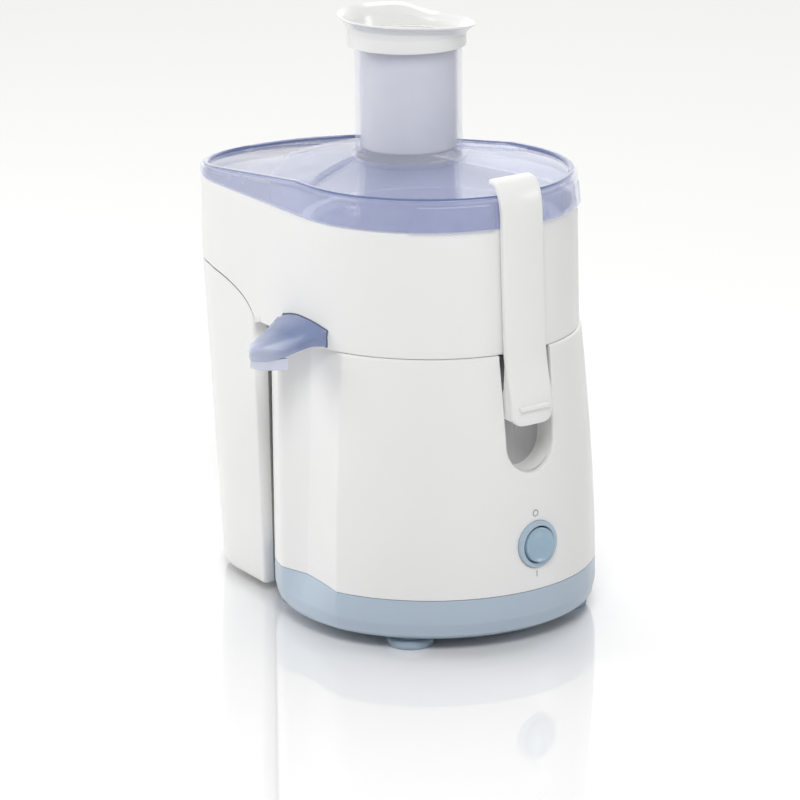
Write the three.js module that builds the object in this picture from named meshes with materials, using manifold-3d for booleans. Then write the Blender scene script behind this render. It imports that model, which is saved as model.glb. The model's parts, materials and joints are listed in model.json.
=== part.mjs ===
// Centrifugal juicer: a motor base with a lift-off juice collector, a see-through lid with its
// feed tube and pusher, a pulp container hung behind the base, a spout, and one nose clamp.
// Millimetres, +Z up, +X towards the nose (clamp and switch), -Y towards the spout.
// Everything is laid out round the drum axis; the last lines move the group so that its
// origin is the middle of its footprint on the table.

import * as THREE from 'three';
import { mergeVertices } from 'three/addons/utils/BufferGeometryUtils.js';
import Module from 'manifold-3d';

const wasm = await Module();
wasm.setup();

// ---------------------------------------------------------------- driving dimensions

const GAP = 0.3;                      // free play between pieces that rest on each other
const WALL = 2.5;                     // moulded wall thickness

const FOOT = { radius: 12, neck: 8, disc: 4.2, x: 46, y: 50.5 };
const BASE = { bottom: 6, chamferTop: 11.5, top: 27.8, radius: 85, topRadius: 84.8, chamfer: 6 };
const HOUSING = { bottom: BASE.top + GAP, top: 151.2, tailRadius: 82.5, deck: 2.7, deckHole: 12 };
const NOSE = { radius: 84.6, taper: 7.6, power: 1.6, blend: [95, 122] };
const SCOOP = { start: -109, end: -73.5, middle: -9, depthLow: 75, depthHigh: 70, power: 1.25, foot: 7 };

const PLAN = { drum: 76, drumTop: 75, tail: 64, tailCentre: 92.6 };
const COLLECTOR = { bottom: 151.5, top: 215.7, bowlRadius: 72.6, bowlFloor: 155, bowlWallTop: 196 };
const CHUTE_RADIUS = 91;              // the pulp drops outside this radius
const EDGE = { start: -60, low: 151.5, end: -111, high: 171, pull: [[-68, 163], [-84, 171]] };
const HUB = { bore: 16, radius: 18.5, top: 164 };

const LID = { bottom: 216, rim: 231.5, slope: 0.103, slopeStart: -20, crown: 236.4, wall: 2.4 };
const TUBE = { x: -17.6, radius: 27.65, bore: 25.4, bottom: 177, top: 298, collar: 30.2 };
const PUSHER = { bottom: 240, stem: 24.6, cup: 22.6, skirtBottom: 293.8, skirt: 30.65, skirtBore: 28.6,
  lip: 35.2, lipTop: 307.3, offset: [-0.55, -0.71] };
const LIP_STEP = { high: 308.9, wave: 0.8, crest: 200, drop: 4.6, fall: [-40, 80], climb: [115, 152] };

const CONTAINER = { bottom: 5, innerRadius: 88, wall: 2.2, tailLow: 57, centreLow: 90, frontLow: -66 };

const CLAMP = { pivotX: 73.5, pivotZ: 124.5, centreY: -1.5, lean: -1.2, halfWidth: 13, bottom: 115.5,
  straight: 150, tip: 240.2 };
const CLAMP_FACE = [[85, 115.4], [85.4, 119], [85.5, 125], [84.3, 132], [82.3, 141], [80.6, 152],
  [79.9, 170], [79.5, 185], [79.2, 215], [79, 224], [77.9, 231], [75.6, 236], [72, 239.3], [67.2, 240.2]];
const CLAMP_BACK = [[67, 237.6], [71, 236.8], [73.4, 234.6], [75.2, 231], [76.1, 224], [76.2, 185],
  [76.9, 168], [77.6, 152], [79.3, 141], [81.2, 132], [82.3, 125], [82, 115.4]];
const RECESS = { y: 0.6, halfWidth: 15, topHalfWidth: 16.2, floor: 67, centreZ: 104.5 };
const PIN_RADIUS = 1.6;

const SWITCH = { angle: 1.2, z: 51.7, face: 85.4, bezel: 12.25, bezelBore: 10.1, throat: 10.6, cap: 9.3, tilt: 5 };
const GLAND = { z: 19.5, neck: 5.4, flange: 7.2, bore: 3.6, face: 85.2 };

const SPOUT = { x: -9, wall: 1.2, rootHalf: 20.4, arch: 166.5, lipLow: 142.4, lipTop: 149, lipEnd: -90 };
// Sections of the spout from the bowl to its tip: y, half width, floor, height of the edge, crown.
const SPOUT_SECTIONS = [[-68, 21, 153, 162.4, 3], [-76, 20.4, 153, 161, 3.4], [-80, 18.8, 153.4, 159, 3.6],
  [-84, 17.5, 153.2, 157.2, 3.8], [-90, 15.5, 151.5, 155, 3.6], [-96, 12.8, 149.2, 153.3, 3.2],
  [-102, 8.4, 147.8, 152.3, 2.4], [-106, 4, 147.1, 151.9, 1.2], [-108, 1.2, 147.3, 151, 0.4]];

const SHAFT = { radius: 4, low: 27.8, high: 159 };
const BEARING_RADIUS = 8;
const BRACKET = { low: 24.3, high: 105.5, boss: 12, leg: 3, legPlace: 26 };
const SIEVE = { floor: 172, top: 203, lowRadius: 52, topRadius: 62, skin: 1 };
const STATOR = { half: 32, low: 50, high: 82, bore: 18.6 };
const SCREW_ANGLES = [20, 150, 210, 340];
const SCREW = { head: 3.8, seat: 7.5, thread: 1.8 };
const BOSS = { distance: 74, radius: 5, top: 60, hole: 2.2 };

const ROUND = 40;                     // facets round a large circle
const SMALL = 16;                     // facets round a small one

// ---------------------------------------------------------------- solids and booleans

/** A closed geometry as a manifold solid, turned right side out. */
function solid(geometry) {
  const bare = geometry.index ? geometry.toNonIndexed() : geometry.clone();
  bare.deleteAttribute('normal');
  bare.deleteAttribute('uv');
  const merged = mergeVertices(bare, 1e-4);
  const points = merged.attributes.position.array;
  const triangles = dropSlivers(merged.index.array);
  if (signedVolume(points, triangles) < 0) {
    for (let i = 0; i < triangles.length; i += 3) {
      [triangles[i], triangles[i + 1]] = [triangles[i + 1], triangles[i]];
    }
  }
  return new wasm.Manifold(new wasm.Mesh({
    numProp: 3,
    vertProperties: Float32Array.from(points),
    triVerts: Uint32Array.from(triangles),
  }));
}

/** Triangles that merging has folded onto an edge are left out. */
function dropSlivers(index) {
  const kept = [];
  for (let i = 0; i < index.length; i += 3) {
    const [a, b, c] = [index[i], index[i + 1], index[i + 2]];
    if (a !== b && b !== c && c !== a) kept.push(a, b, c);
  }
  return kept;
}

function signedVolume(points, triangles) {
  const corner = (i) => new THREE.Vector3().fromArray(points, 3 * i);
  let volume = 0;
  for (let i = 0; i < triangles.length; i += 3) {
    const [a, b, c] = [0, 1, 2].map((k) => corner(triangles[i + k]));
    volume += a.dot(b.cross(c)) / 6;
  }
  return volume;
}

/** A manifold solid as a three.js geometry. */
function geometryOf(body) {
  const mesh = body.getMesh();
  const positions = new Float32Array(mesh.numVert * 3);
  for (let i = 0; i < mesh.numVert; i += 1) {
    for (let k = 0; k < 3; k += 1) positions[3 * i + k] = mesh.vertProperties[i * mesh.numProp + k];
  }
  const geometry = new THREE.BufferGeometry();
  geometry.setAttribute('position', new THREE.BufferAttribute(positions, 3));
  geometry.setIndex(new THREE.BufferAttribute(new Uint32Array(mesh.triVerts), 1));
  geometry.computeVertexNormals();
  return geometry;
}

const join = (first, ...rest) => rest.reduce((a, b) => a.add(b), first);
const cut = (first, ...rest) => rest.reduce((a, b) => a.subtract(b), first);

function box([x0, x1], [y0, y1], [z0, z1]) {
  const geometry = new THREE.BoxGeometry(x1 - x0, y1 - y0, z1 - z0);
  geometry.translate((x0 + x1) / 2, (y0 + y1) / 2, (z0 + z1) / 2);
  return solid(geometry);
}

/** A round bar standing along Z. */
function rod(radius, low, high, x = 0, y = 0, facets = SMALL) {
  const geometry = new THREE.CylinderGeometry(radius, radius, high - low, facets);
  geometry.rotateX(Math.PI / 2);
  geometry.translate(x, y, (low + high) / 2);
  return solid(geometry);
}

/** A round bar lying along X. */
function rodAlongX(radius, low, high, y, z, facets = SMALL) {
  const geometry = new THREE.CylinderGeometry(radius, radius, high - low, facets);
  geometry.rotateZ(Math.PI / 2);
  geometry.translate((low + high) / 2, y, z);
  return solid(geometry);
}

/** A round bar lying along Y. */
function rodAlongY(radius, low, high, x, z, facets = SMALL) {
  const geometry = new THREE.CylinderGeometry(radius, radius, high - low, facets);
  geometry.translate(x, (low + high) / 2, z);
  return solid(geometry);
}

/** A turned body: [radius, z] pairs that start and end on the axis, or close on themselves. */
function turned(profile, facets = ROUND) {
  const points = profile.map(([r, z]) => new THREE.Vector2(r, z));
  const geometry = new THREE.LatheGeometry(points, facets);
  geometry.rotateX(Math.PI / 2);
  return solid(geometry);
}

function ring(inner, outer, low, high, facets = ROUND) {
  return turned([[inner, low], [outer, low], [outer, high], [inner, high], [inner, low]], facets);
}

/** A flat shape in the XY plane, raised from low to high. */
function raised(shape, low, high, curveSegments = 12) {
  const options = { depth: high - low, bevelEnabled: false, curveSegments };
  const geometry = new THREE.ExtrudeGeometry(shape, options);
  geometry.translate(0, 0, low);
  return solid(geometry);
}

/** A shape drawn in X and Z, stretched along Y from low to high. */
function acrossY(shape, low, high, curveSegments = 8) {
  const options = { depth: high - low, bevelEnabled: false, curveSegments };
  const geometry = new THREE.ExtrudeGeometry(shape, options);
  geometry.rotateX(Math.PI / 2);
  geometry.translate(0, high, 0);
  return solid(geometry);
}

/** A shape drawn in Y and Z, stretched along X from low to high. */
function acrossX(shape, low, high, curveSegments = 8) {
  const options = { depth: high - low, bevelEnabled: false, curveSegments };
  const geometry = new THREE.ExtrudeGeometry(shape, options);
  geometry.rotateX(Math.PI / 2);
  geometry.rotateZ(Math.PI / 2);
  geometry.translate(low, 0, 0);
  return solid(geometry);
}

/** A sector of a ring, between two angles in degrees. */
function sector(inner, outer, from, to, low, high) {
  const [a, b] = [from, to].map(THREE.MathUtils.degToRad);
  const shape = new THREE.Shape();
  shape.absarc(0, 0, outer, a, b, false);
  shape.absarc(0, 0, inner, b, a, true);
  shape.closePath();
  return raised(shape, low, high, 6);
}

/** A closed body skinned over a stack of rings with equal numbers of points. */
function skin(rings, flat = (p) => new THREE.Vector2(p.x, p.y)) {
  const count = rings[0].length;
  const positions = rings.flat().flatMap((p) => [p.x, p.y, p.z]);
  const index = [];
  for (let level = 0; level + 1 < rings.length; level += 1) {
    for (let i = 0; i < count; i += 1) {
      const a = level * count + i;
      const b = level * count + ((i + 1) % count);
      index.push(a, b, b + count, a, b + count, a + count);
    }
  }
  const base = (rings.length - 1) * count;
  for (const [a, b, c] of capTriangles(rings[0].map(flat))) index.push(a, c, b);
  for (const [a, b, c] of capTriangles(rings.at(-1).map(flat))) index.push(base + a, base + b, base + c);
  const geometry = new THREE.BufferGeometry();
  geometry.setAttribute('position', new THREE.Float32BufferAttribute(positions, 3));
  geometry.setIndex(index);
  return solid(geometry);
}

/** Triangles of a flat outline, all anticlockwise. */
function capTriangles(outline) {
  return THREE.ShapeUtils.triangulateShape(outline, []).map(([a, b, c]) => {
    const [p, q, r] = [outline[a], outline[b], outline[c]];
    const area = (q.x - p.x) * (r.y - p.y) - (r.x - p.x) * (q.y - p.y);
    return area < 0 ? [a, c, b] : [a, b, c];
  });
}

const lift = (outline, height) => outline.map((p) => new THREE.Vector3(p.x, p.y,
  typeof height === 'function' ? height(p) : height));

// ---------------------------------------------------------------- outlines

const radians = THREE.MathUtils.degToRad;
const { lerp, smoothstep } = THREE.MathUtils;

/** Radius of the tapered nose side at a height. */
function noseRadius(z) {
  if (z < HOUSING.bottom) return lerp(BASE.radius, BASE.topRadius, smoothstep(z, BASE.chamferTop, BASE.top));
  const t = Math.min((z - HOUSING.bottom) / (HOUSING.top - HOUSING.bottom), 1);
  return NOSE.radius - NOSE.taper * t ** NOSE.power;
}

/** Plan outline of the motor base: tapered nose, upright tail side, scoop for the glass. */
function bodyOutline(z, inset) {
  const nose = noseRadius(z) - inset;
  const tail = HOUSING.tailRadius - inset;
  const outline = [];
  const sweep = 360 + SCOOP.start - SCOOP.end;
  const steps = 42;
  for (let i = 0; i <= steps; i += 1) {
    const angle = SCOOP.end + sweep * i / steps;
    const radius = lerp(nose, tail, smoothstep(angle, ...NOSE.blend));
    outline.push(polar(radius, angle));
  }
  const from = outline.at(-1);
  const to = outline[0];
  const share = THREE.MathUtils.clamp((z - SCOOP.foot) / (BASE.top - SCOOP.foot), 0, 1);
  const depth = lerp(SCOOP.depthLow, SCOOP.depthHigh, (z - BASE.top) / (HOUSING.top - BASE.top)) - inset;
  const scoopSteps = 10;
  for (let i = 1; i < scoopSteps; i += 1) {
    const x = lerp(from.x, to.x, i / scoopSteps);
    const end = x < SCOOP.middle ? from : to;
    const out = ((x - SCOOP.middle) / (end.x - SCOOP.middle)) ** SCOOP.power;
    const hollow = lerp(-depth, end.y, out);
    const full = -Math.sqrt(lerp(from.length(), to.length(), i / scoopSteps) ** 2 - x * x);
    outline.push(new THREE.Vector2(x, lerp(full, hollow, share)));
  }
  return outline;
}

function polar(radius, degrees) {
  return new THREE.Vector2(radius * Math.cos(radians(degrees)), radius * Math.sin(radians(degrees)));
}

/** Teardrop plan of collector and lid: two circles and their tangent flanks. */
function teardrop(drum, tail, centre = PLAN.tailCentre) {
  const lean = THREE.MathUtils.radToDeg(Math.asin((drum - tail) / centre));
  const turn = 90 + lean;
  const outline = [];
  const drumSteps = 30;
  const tailSteps = 16;
  const flankSteps = 4;
  for (let i = 0; i <= drumSteps; i += 1) outline.push(polar(drum, lerp(-turn, turn, i / drumSteps)));
  const tailArc = [];
  for (let i = 0; i <= tailSteps; i += 1) {
    const p = polar(tail, lerp(turn, 360 - turn, i / tailSteps));
    tailArc.push(p.setX(p.x - centre));
  }
  pushBetween(outline, outline.at(-1), tailArc[0], flankSteps);
  outline.push(...tailArc);
  pushBetween(outline, tailArc.at(-1), outline[0], flankSteps);
  return outline;
}

function pushBetween(outline, from, to, steps) {
  for (let i = 1; i < steps; i += 1) outline.push(from.clone().lerp(to, i / steps));
}

/** Everything under the swept lower edge of the collector's tail, shifted up by a height. */
function underEdge(shift) {
  const shape = new THREE.Shape();
  shape.moveTo(EDGE.start, 0);
  shape.lineTo(EDGE.start, EDGE.low + shift);
  const [[x1, z1], [x2, z2]] = EDGE.pull;
  shape.bezierCurveTo(x1, z1 + shift, x2, z2 + shift, EDGE.end, EDGE.high + shift);
  shape.lineTo(-180, EDGE.high + shift);
  shape.lineTo(-180, 0);
  shape.closePath();
  return acrossY(shape, -90, 90, 8);
}

/** Crescent plan of the pulp container at a height, drawn in at its outer, end and inner walls. */
function containerOutline(z, inset, endInset, innerInset = inset) {
  const t = THREE.MathUtils.clamp(z / EDGE.high, 0, 1);
  const tail = lerp(CONTAINER.tailLow, PLAN.tail, t) - inset;
  const centre = lerp(CONTAINER.centreLow, PLAN.tailCentre, t);
  const front = lerp(CONTAINER.frontLow, EDGE.start - 0.5, t) - endInset;
  const inner = CONTAINER.innerRadius + innerInset;
  const lean = Math.asin((PLAN.drum - PLAN.tail) / PLAN.tailCentre);
  const turn = 90 + THREE.MathUtils.radToDeg(lean);
  const touch = polar(tail, turn);
  touch.x -= centre;
  const frontY = touch.y + (front - touch.x) * Math.tan(lean);
  const outline = [new THREE.Vector2(front, frontY)];
  const tailSteps = 18;
  for (let i = 0; i <= tailSteps; i += 1) {
    const p = polar(tail, lerp(turn, 360 - turn, i / tailSteps));
    outline.push(p.setX(p.x - centre));
  }
  outline.push(new THREE.Vector2(front, -frontY));
  const reach = THREE.MathUtils.radToDeg(Math.acos(front / inner));
  const innerSteps = 14;
  for (let i = 0; i <= innerSteps; i += 1) {
    outline.push(polar(inner, lerp(360 - reach, reach, i / innerSteps)));
  }
  return outline;
}

// ---------------------------------------------------------------- base and housing

function basePlate() {
  const levels = [[BASE.bottom, BASE.chamfer], [BASE.bottom + 1.6, BASE.chamfer / 2.6],
    [BASE.chamferTop, 0], [BASE.top, 0]];
  const outside = skin(levels.map(([z, inset]) => lift(bodyOutline(z, inset), z)));
  const floor = BASE.bottom + WALL + 0.5;
  const inside = skin([floor, BASE.top + 1].map((z) => lift(bodyOutline(BASE.top, WALL + 0.3), z)));
  const holes = SCREW_ANGLES.map((angle) => {
    const p = polar(BOSS.distance, angle);
    return join(
      rod(BOSS.hole, BASE.bottom - 1, floor + 1, p.x, p.y, 10),
      rod(SCREW.head + GAP, BASE.bottom - 1, SCREW.seat + GAP, p.x, p.y, 16),
    );
  });
  const cordHole = rodAlongY(GLAND.neck + GAP, 70, 90, 0, GLAND.z);
  return cut(outside, inside, cordHole, ...holes);
}

/** Rubber bush that guards the mains lead where it leaves the base. */
function cordGland() {
  const inner = GLAND.face - 6;
  const profile = [[GLAND.bore, inner], [GLAND.flange, inner], [GLAND.flange, inner + 2],
    [GLAND.neck, inner + 2], [GLAND.neck, GLAND.face], [GLAND.flange, GLAND.face],
    [GLAND.flange - 0.8, GLAND.face + 1.8], [GLAND.bore, GLAND.face + 1.8], [GLAND.bore, inner]];
  const geometry = new THREE.LatheGeometry(profile.map(([r, y]) => new THREE.Vector2(r, y)), SMALL);
  geometry.translate(0, 0, GLAND.z);
  return solid(geometry);
}

/** Room for the clamp's arms: a slightly tapered slot with a round bottom, open at the top. */
function recessBlock(grow) {
  const { y, halfWidth, topHalfWidth, floor, centreZ } = RECESS;
  const [half, topHalf] = [halfWidth + grow, topHalfWidth + grow];
  const slot = new THREE.Shape();
  slot.moveTo(y - topHalf, HOUSING.top + 5);
  slot.lineTo(y - half, centreZ);
  slot.absarc(y, centreZ, half, Math.PI, 2 * Math.PI, false);
  slot.lineTo(y + topHalf, HOUSING.top + 5);
  slot.closePath();
  return acrossX(slot, floor - grow, 100, 14);
}

function motorHousing() {
  const heights = [0, 0.24, 0.5, 0.76, 1].map((share) => lerp(HOUSING.bottom, HOUSING.top, share));
  const outside = skin(heights.map((z) => lift(bodyOutline(z, 0), z)));
  const innerHeights = [HOUSING.bottom - 1, ...heights.slice(1, -1), HOUSING.top - HOUSING.deck];
  const inside = skin(innerHeights.map((z) => lift(bodyOutline(Math.max(z, HOUSING.bottom), WALL), z)));
  const cavity = cut(inside, recessBlock(WALL), ...SCREW_ANGLES.map(bossWeb));
  const shell = cut(outside, cavity, recessBlock(0));
  const bosses = SCREW_ANGLES.map((angle) => {
    const p = polar(BOSS.distance, angle);
    const post = rod(BOSS.radius, BASE.bottom + WALL + 0.8, BOSS.top, p.x, p.y, 12);
    return cut(post, rod(BOSS.hole, 0, BOSS.top - 20, p.x, p.y, 10));
  });
  const deckHole = rod(HOUSING.deckHole, HOUSING.top - 10, HOUSING.top + 10);
  const pinHole = rodAlongY(PIN_RADIUS + GAP, -17.8, 17.8, CLAMP.pivotX, CLAMP.pivotZ, 20);
  return cut(join(shell, ...bosses), deckHole, pinHole, ...switchHole());
}

/** Rib that ties a screw boss to the housing wall. */
function bossWeb(angle) {
  const from = BOSS.distance + BOSS.radius - 1;
  const rib = box([from, 90], [-1.2, 1.2], [HOUSING.bottom + 1, BOSS.top]);
  return rib.rotate([0, 0, angle]);
}

function switchHole() {
  const seat = rodAlongX(SWITCH.bezel + GAP, SWITCH.face - 3.1, 95, 0, SWITCH.z, 28);
  const throat = rodAlongX(SWITCH.throat, 70, 95, 0, SWITCH.z, 28);
  return [seat, throat].map((body) => body.rotate([0, 0, SWITCH.angle]));
}

function foot(x, y) {
  const top = BASE.bottom - GAP;
  const profile = [[0, 0], [FOOT.radius - 1, 0], [FOOT.radius, 1], [FOOT.radius, FOOT.disc - 1],
    [FOOT.radius - 1.2, FOOT.disc], [FOOT.neck, FOOT.disc], [FOOT.neck, top], [0, top]];
  return turned(profile, 20).translate([x, y, 0]);
}

function baseScrew(angle) {
  const p = polar(BOSS.distance, angle);
  const { head, seat, thread } = SCREW;
  const profile = [[0, seat - 1.4], [head - 0.8, seat - 1.4], [head, seat - 0.6], [head, seat],
    [thread, seat], [thread, 34], [0, 36]];
  return turned(profile, 10).translate([p.x, p.y, 0]);
}

// ---------------------------------------------------------------- switch

const aimSwitch = (body) => body.rotate([0, 0, SWITCH.angle]);

function switchBezel() {
  const back = SWITCH.face - 2.8;
  const outer = rodAlongX(SWITCH.bezel, back, SWITCH.face, 0, SWITCH.z, 28);
  return aimSwitch(cut(outer, rodAlongX(SWITCH.bezelBore, back - 1, SWITCH.face + 1, 0, SWITCH.z, 28)));
}

function switchRocker() {
  const cap = new THREE.LatheGeometry([[0, -5.5], [8.6, -5.5], [SWITCH.cap, -4.5], [SWITCH.cap, 0.6],
    [8.7, 1.3], [4, 1.0], [0, 0.9]].map(([r, y]) => new THREE.Vector2(r, y)), 24);
  cap.rotateZ(-Math.PI / 2);
  cap.rotateY(radians(-SWITCH.tilt));
  cap.translate(SWITCH.face - 0.2, 0, SWITCH.z);
  return aimSwitch(solid(cap));
}

function switchBody() {
  return aimSwitch(join(
    box([60, 76], [-9, 9], [SWITCH.z - 11, SWITCH.z + 11]),
    box([52, 61], [-6, -4.5], [SWITCH.z - 3, SWITCH.z + 3]),
    box([52, 61], [4.5, 6], [SWITCH.z - 3, SWITCH.z + 3]),
  ));
}

function interlockSwitch() {
  return join(
    box([51, 63.5], [-8, 8], [118, 130]),
    box([54, 60], [-3, 3], [129, 132.5]),
  );
}

// ---------------------------------------------------------------- motor

function motorStator() {
  const block = box([-STATOR.half, STATOR.half], [-STATOR.half, STATOR.half], [STATOR.low, STATOR.high]);
  const rounded = block.intersect(rod(40, 0, 200, 0, 0, 40));
  const slots = [50, 130, 230, 310].map((angle) => sector(
    10, 26.6, angle - 10, angle + 10, STATOR.low - 1, STATOR.high + 1));
  return cut(rounded, rod(STATOR.bore, 0, 200, 0, 0, 40), ...slots);
}

/** Saddle-shaped field coil round one pole of the stator. */
function fieldCoil(middle) {
  const outside = sector(20.6, 26.2, middle - 49, middle + 49, STATOR.low - 6, STATOR.high + 8);
  const window = sector(10, 40, middle - 41.5, middle + 41.5, STATOR.low - GAP, STATOR.high + GAP);
  return cut(outside, window);
}

/** Bridge plate with a bearing boss and four legs that reach to the stator. */
function motorBracket(plateLow, bossLow, bossHigh, legLow, legHigh) {
  const plate = box([-36, 36], [-36, 36], [plateLow, plateLow + 3]).intersect(rod(43, 0, 200, 0, 0, 40));
  const windows = [[-30, -16], [16, 30]].map((x) => box(x, [-18, 18], [plateLow - 1, plateLow + 4]));
  const boss = rod(BRACKET.boss, bossLow, bossHigh);
  const legs = [[1, 1], [1, -1], [-1, 1], [-1, -1]].map(
    ([i, k]) => rod(BRACKET.leg, legLow, legHigh, i * BRACKET.legPlace, k * BRACKET.legPlace, 8));
  const bore = rod(BEARING_RADIUS + GAP, bossLow - 1, bossHigh + 5, 0, 0);
  return cut(join(cut(plate, ...windows), boss, ...legs), bore);
}

const lowerBracket = () => motorBracket(BRACKET.low, BRACKET.low, 35, BRACKET.low + 1, STATOR.low - GAP);
const upperBracket = () => motorBracket(BRACKET.high, BRACKET.high, 116, STATOR.high + GAP, BRACKET.high + 1);

const bearing = (low) => ring(SHAFT.radius + GAP, BEARING_RADIUS, low, low + 6, SMALL);

function brushHolder(side) {
  const tube = box([15, 30], [-4.2, 4.2], [93.5, 105.2]);
  const channel = box([10, 29], [-2.6, 2.6], [95.2, 101.8]);
  return cut(tube, channel).rotate([0, 0, side]);
}

const carbonBrush = (side) => box([11.4, 26], [-2.3, 2.3], [95.5, 101.5]).rotate([0, 0, side]);

function damper(x, y) {
  const [low, high] = [BASE.bottom + WALL + 0.8, BRACKET.low - GAP];
  const waist = (low + high) / 2;
  return turned([[0, low], [6, low], [6, low + 2], [4.6, waist], [6, high - 2], [6, high], [0, high]], 12)
    .translate([x, y, 0]);
}

const sleeve = (outer, low, high, facets = 24) => ring(SHAFT.radius + GAP, outer, low, high, facets);

function coolingFan() {
  const hub = sleeve(9, 37, 43, SMALL);
  const plate = sleeve(28, 37, 38.4, 24);
  const blades = Array.from({ length: 6 }, (_, i) => box([7, 27.5], [-0.8, 0.8], [38, 43])
    .rotate([0, 0, 60 * i]));
  return join(hub, plate, ...blades);
}

const motorShaft = () => turned([[0, SHAFT.low], [SHAFT.radius, SHAFT.low], [SHAFT.radius, SHAFT.high],
  [0, SHAFT.high]], 20);

function armatureWinding(low, high) {
  const bore = SHAFT.radius + GAP;
  const middle = (low + high) / 2;
  return turned([[bore, low], [12, low], [16.4, middle], [12, high], [bore, high], [bore, low]], SMALL);
}

/** Driving dog on top of the shaft: a round head with three lugs. */
function driveCoupling() {
  const head = rod(7, 152.6, 164);
  const lugs = [0, 120, 240].map((angle) => box([2, 9], [-1.6, 1.6], [154, 164]).rotate([0, 0, angle]));
  return cut(join(head, ...lugs), rod(SHAFT.radius + GAP, 150, SHAFT.high + GAP, 0, 0, 20));
}

// ---------------------------------------------------------------- sieve

function graterDisc() {
  const plate = rod(51.4, 169, 171.7, 0, 0, ROUND);
  const hub = ring(9.4, 13.5, 156.6, 169.5, SMALL);
  return join(plate, hub);
}

function sieveBasket() {
  const { floor, top, lowRadius, topRadius, skin: sheet } = SIEVE;
  return turned([[lowRadius - sheet, floor], [lowRadius, floor], [topRadius, top],
    [topRadius - sheet, top], [lowRadius - sheet, floor]]);
}

function sieveRim() {
  const low = SIEVE.top + GAP;
  return turned([[59.5, low], [64.5, low], [66.5, low + 2.5], [66.5, low + 4.2], [61, low + 4.2],
    [59.5, low]]);
}

const basketFoot = () => turned([[51.7, 166.5], [54.6, 166.5], [54.6, 171.7], [51.7, 171.7], [51.7, 166.5]]);

// ---------------------------------------------------------------- juice collector and spout

function collectorPlan(z, inset) {
  const t = (z - COLLECTOR.bottom) / (COLLECTOR.top - COLLECTOR.bottom);
  return teardrop(lerp(PLAN.drum, PLAN.drumTop, t) - inset, PLAN.tail - inset);
}

function juiceCollector() {
  const { bottom, top, bowlRadius, bowlFloor, bowlWallTop } = COLLECTOR;
  const outside = skin([bottom, top].map((z) => lift(collectorPlan(z, 0), z)));
  const inset = (low) => skin([low, top + 1].map((z) => lift(collectorPlan(z, WALL + 0.4), z)));
  const bowlWall = rod(bowlRadius + WALL, 100, 250, 0, 0, ROUND);
  const bowl = rod(bowlRadius, bowlFloor, 250, 0, 0, ROUND);
  const channel = cut(inset(bottom), bowlWall, underEdge(WALL));
  const drop = cut(inset(bottom - 1), rod(CHUTE_RADIUS, 100, 250, 0, 0, ROUND));
  const tailFloor = cut(box([-200, EDGE.start], [-100, 100], [0, bottom + WALL]), bowlWall);
  const overTail = cut(channel, tailFloor, box([-61, 80], [-90, 90], [0, bottom + WALL]));
  const shell = cut(outside, inset(bowlWallTop), bowl, overTail, drop, underEdge(0));
  const collar = rod(HUB.radius, bowlFloor - 1, HUB.top);
  return cut(join(shell, collar), rod(HUB.bore, bottom - 1, HUB.top + 1), spoutHole());
}

/** Arched opening in the collector's wall that the juice leaves by. */
function spoutHole() {
  return acrossY(archShape(GAP), -90, -60);
}

function archShape(grow) {
  const margin = 3.6;
  const [left, right] = [-1, 1].map((side) => SPOUT.x + side * (SPOUT.rootHalf - margin + grow));
  const low = COLLECTOR.bowlFloor + 0.3;
  const shape = new THREE.Shape();
  shape.moveTo(left, low - grow);
  shape.lineTo(right, low - grow);
  shape.lineTo(right, low + 3);
  shape.quadraticCurveTo((left + right) / 2, SPOUT.arch + grow, left, low + 3);
  shape.closePath();
  return shape;
}

/** One cross-section of the spout: flat floor, upright sides, a low arch between the two edges. */
function spoutSection([y, half, floor, edge, crown], inset) {
  const steps = 10;
  const points = [new THREE.Vector3(SPOUT.x + half - inset, y, floor + inset)];
  for (let i = 0; i <= steps; i += 1) {
    const across = 1 - 2 * i / steps;
    const height = Math.max(edge + crown * (1 - across * across) - inset, floor + inset + 0.2);
    points.push(new THREE.Vector3(SPOUT.x + (half - inset) * across, y, height));
  }
  points.push(new THREE.Vector3(SPOUT.x - half + inset, y, floor + inset));
  return points;
}

/** Plan of the drip lip that hangs round the spout's mouth, drawn in by an inset. */
function lipPlan(inset) {
  const side = SPOUT_SECTIONS.filter(([y]) => y <= SPOUT.lipEnd)
    .map(([y, half], i, all) => [Math.max(half - inset, 0.4), i === all.length - 1 ? y + inset : y]);
  const [lastHalf, tip] = side.at(-1);
  const kept = side.filter(([, y]) => y > tip).concat([[lastHalf, tip]]);
  const points = [...kept.map(([half, y]) => [SPOUT.x + half, y]),
    ...kept.reverse().map(([half, y]) => [SPOUT.x - half, y])];
  return new THREE.Shape(points.map(([x, y]) => new THREE.Vector2(x, y)));
}

function spout() {
  const flat = (p) => new THREE.Vector2(p.x, p.z);
  const outside = skin(SPOUT_SECTIONS.map((section) => spoutSection(section, 0)), flat);
  const [first, ...others] = SPOUT_SECTIONS.slice(0, -2);
  const inner = [[first[0] + 5, ...first.slice(1)], ...others];
  const inside = skin(inner.map((section) => spoutSection(section, SPOUT.wall)), flat);
  const lipOuter = raised(lipPlan(1.2), SPOUT.lipLow, SPOUT.lipTop);
  const mouth = raised(lipPlan(2.7), SPOUT.lipLow - 1, SPOUT.lipTop + 2)
    .intersect(box([-60, 40], [-120, SPOUT.lipEnd - 2], [100, 200]));
  const bowl = raised(new THREE.Shape(teardrop(PLAN.drum + GAP, PLAN.tail + GAP)), 100, 200);
  return cut(join(cut(outside, inside, bowl), lipOuter), mouth);
}

// ---------------------------------------------------------------- lid, feed tube and pusher

const rimHeight = (p) => LID.rim - LID.slope * Math.max(LID.slopeStart - p.x, 0);

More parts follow.
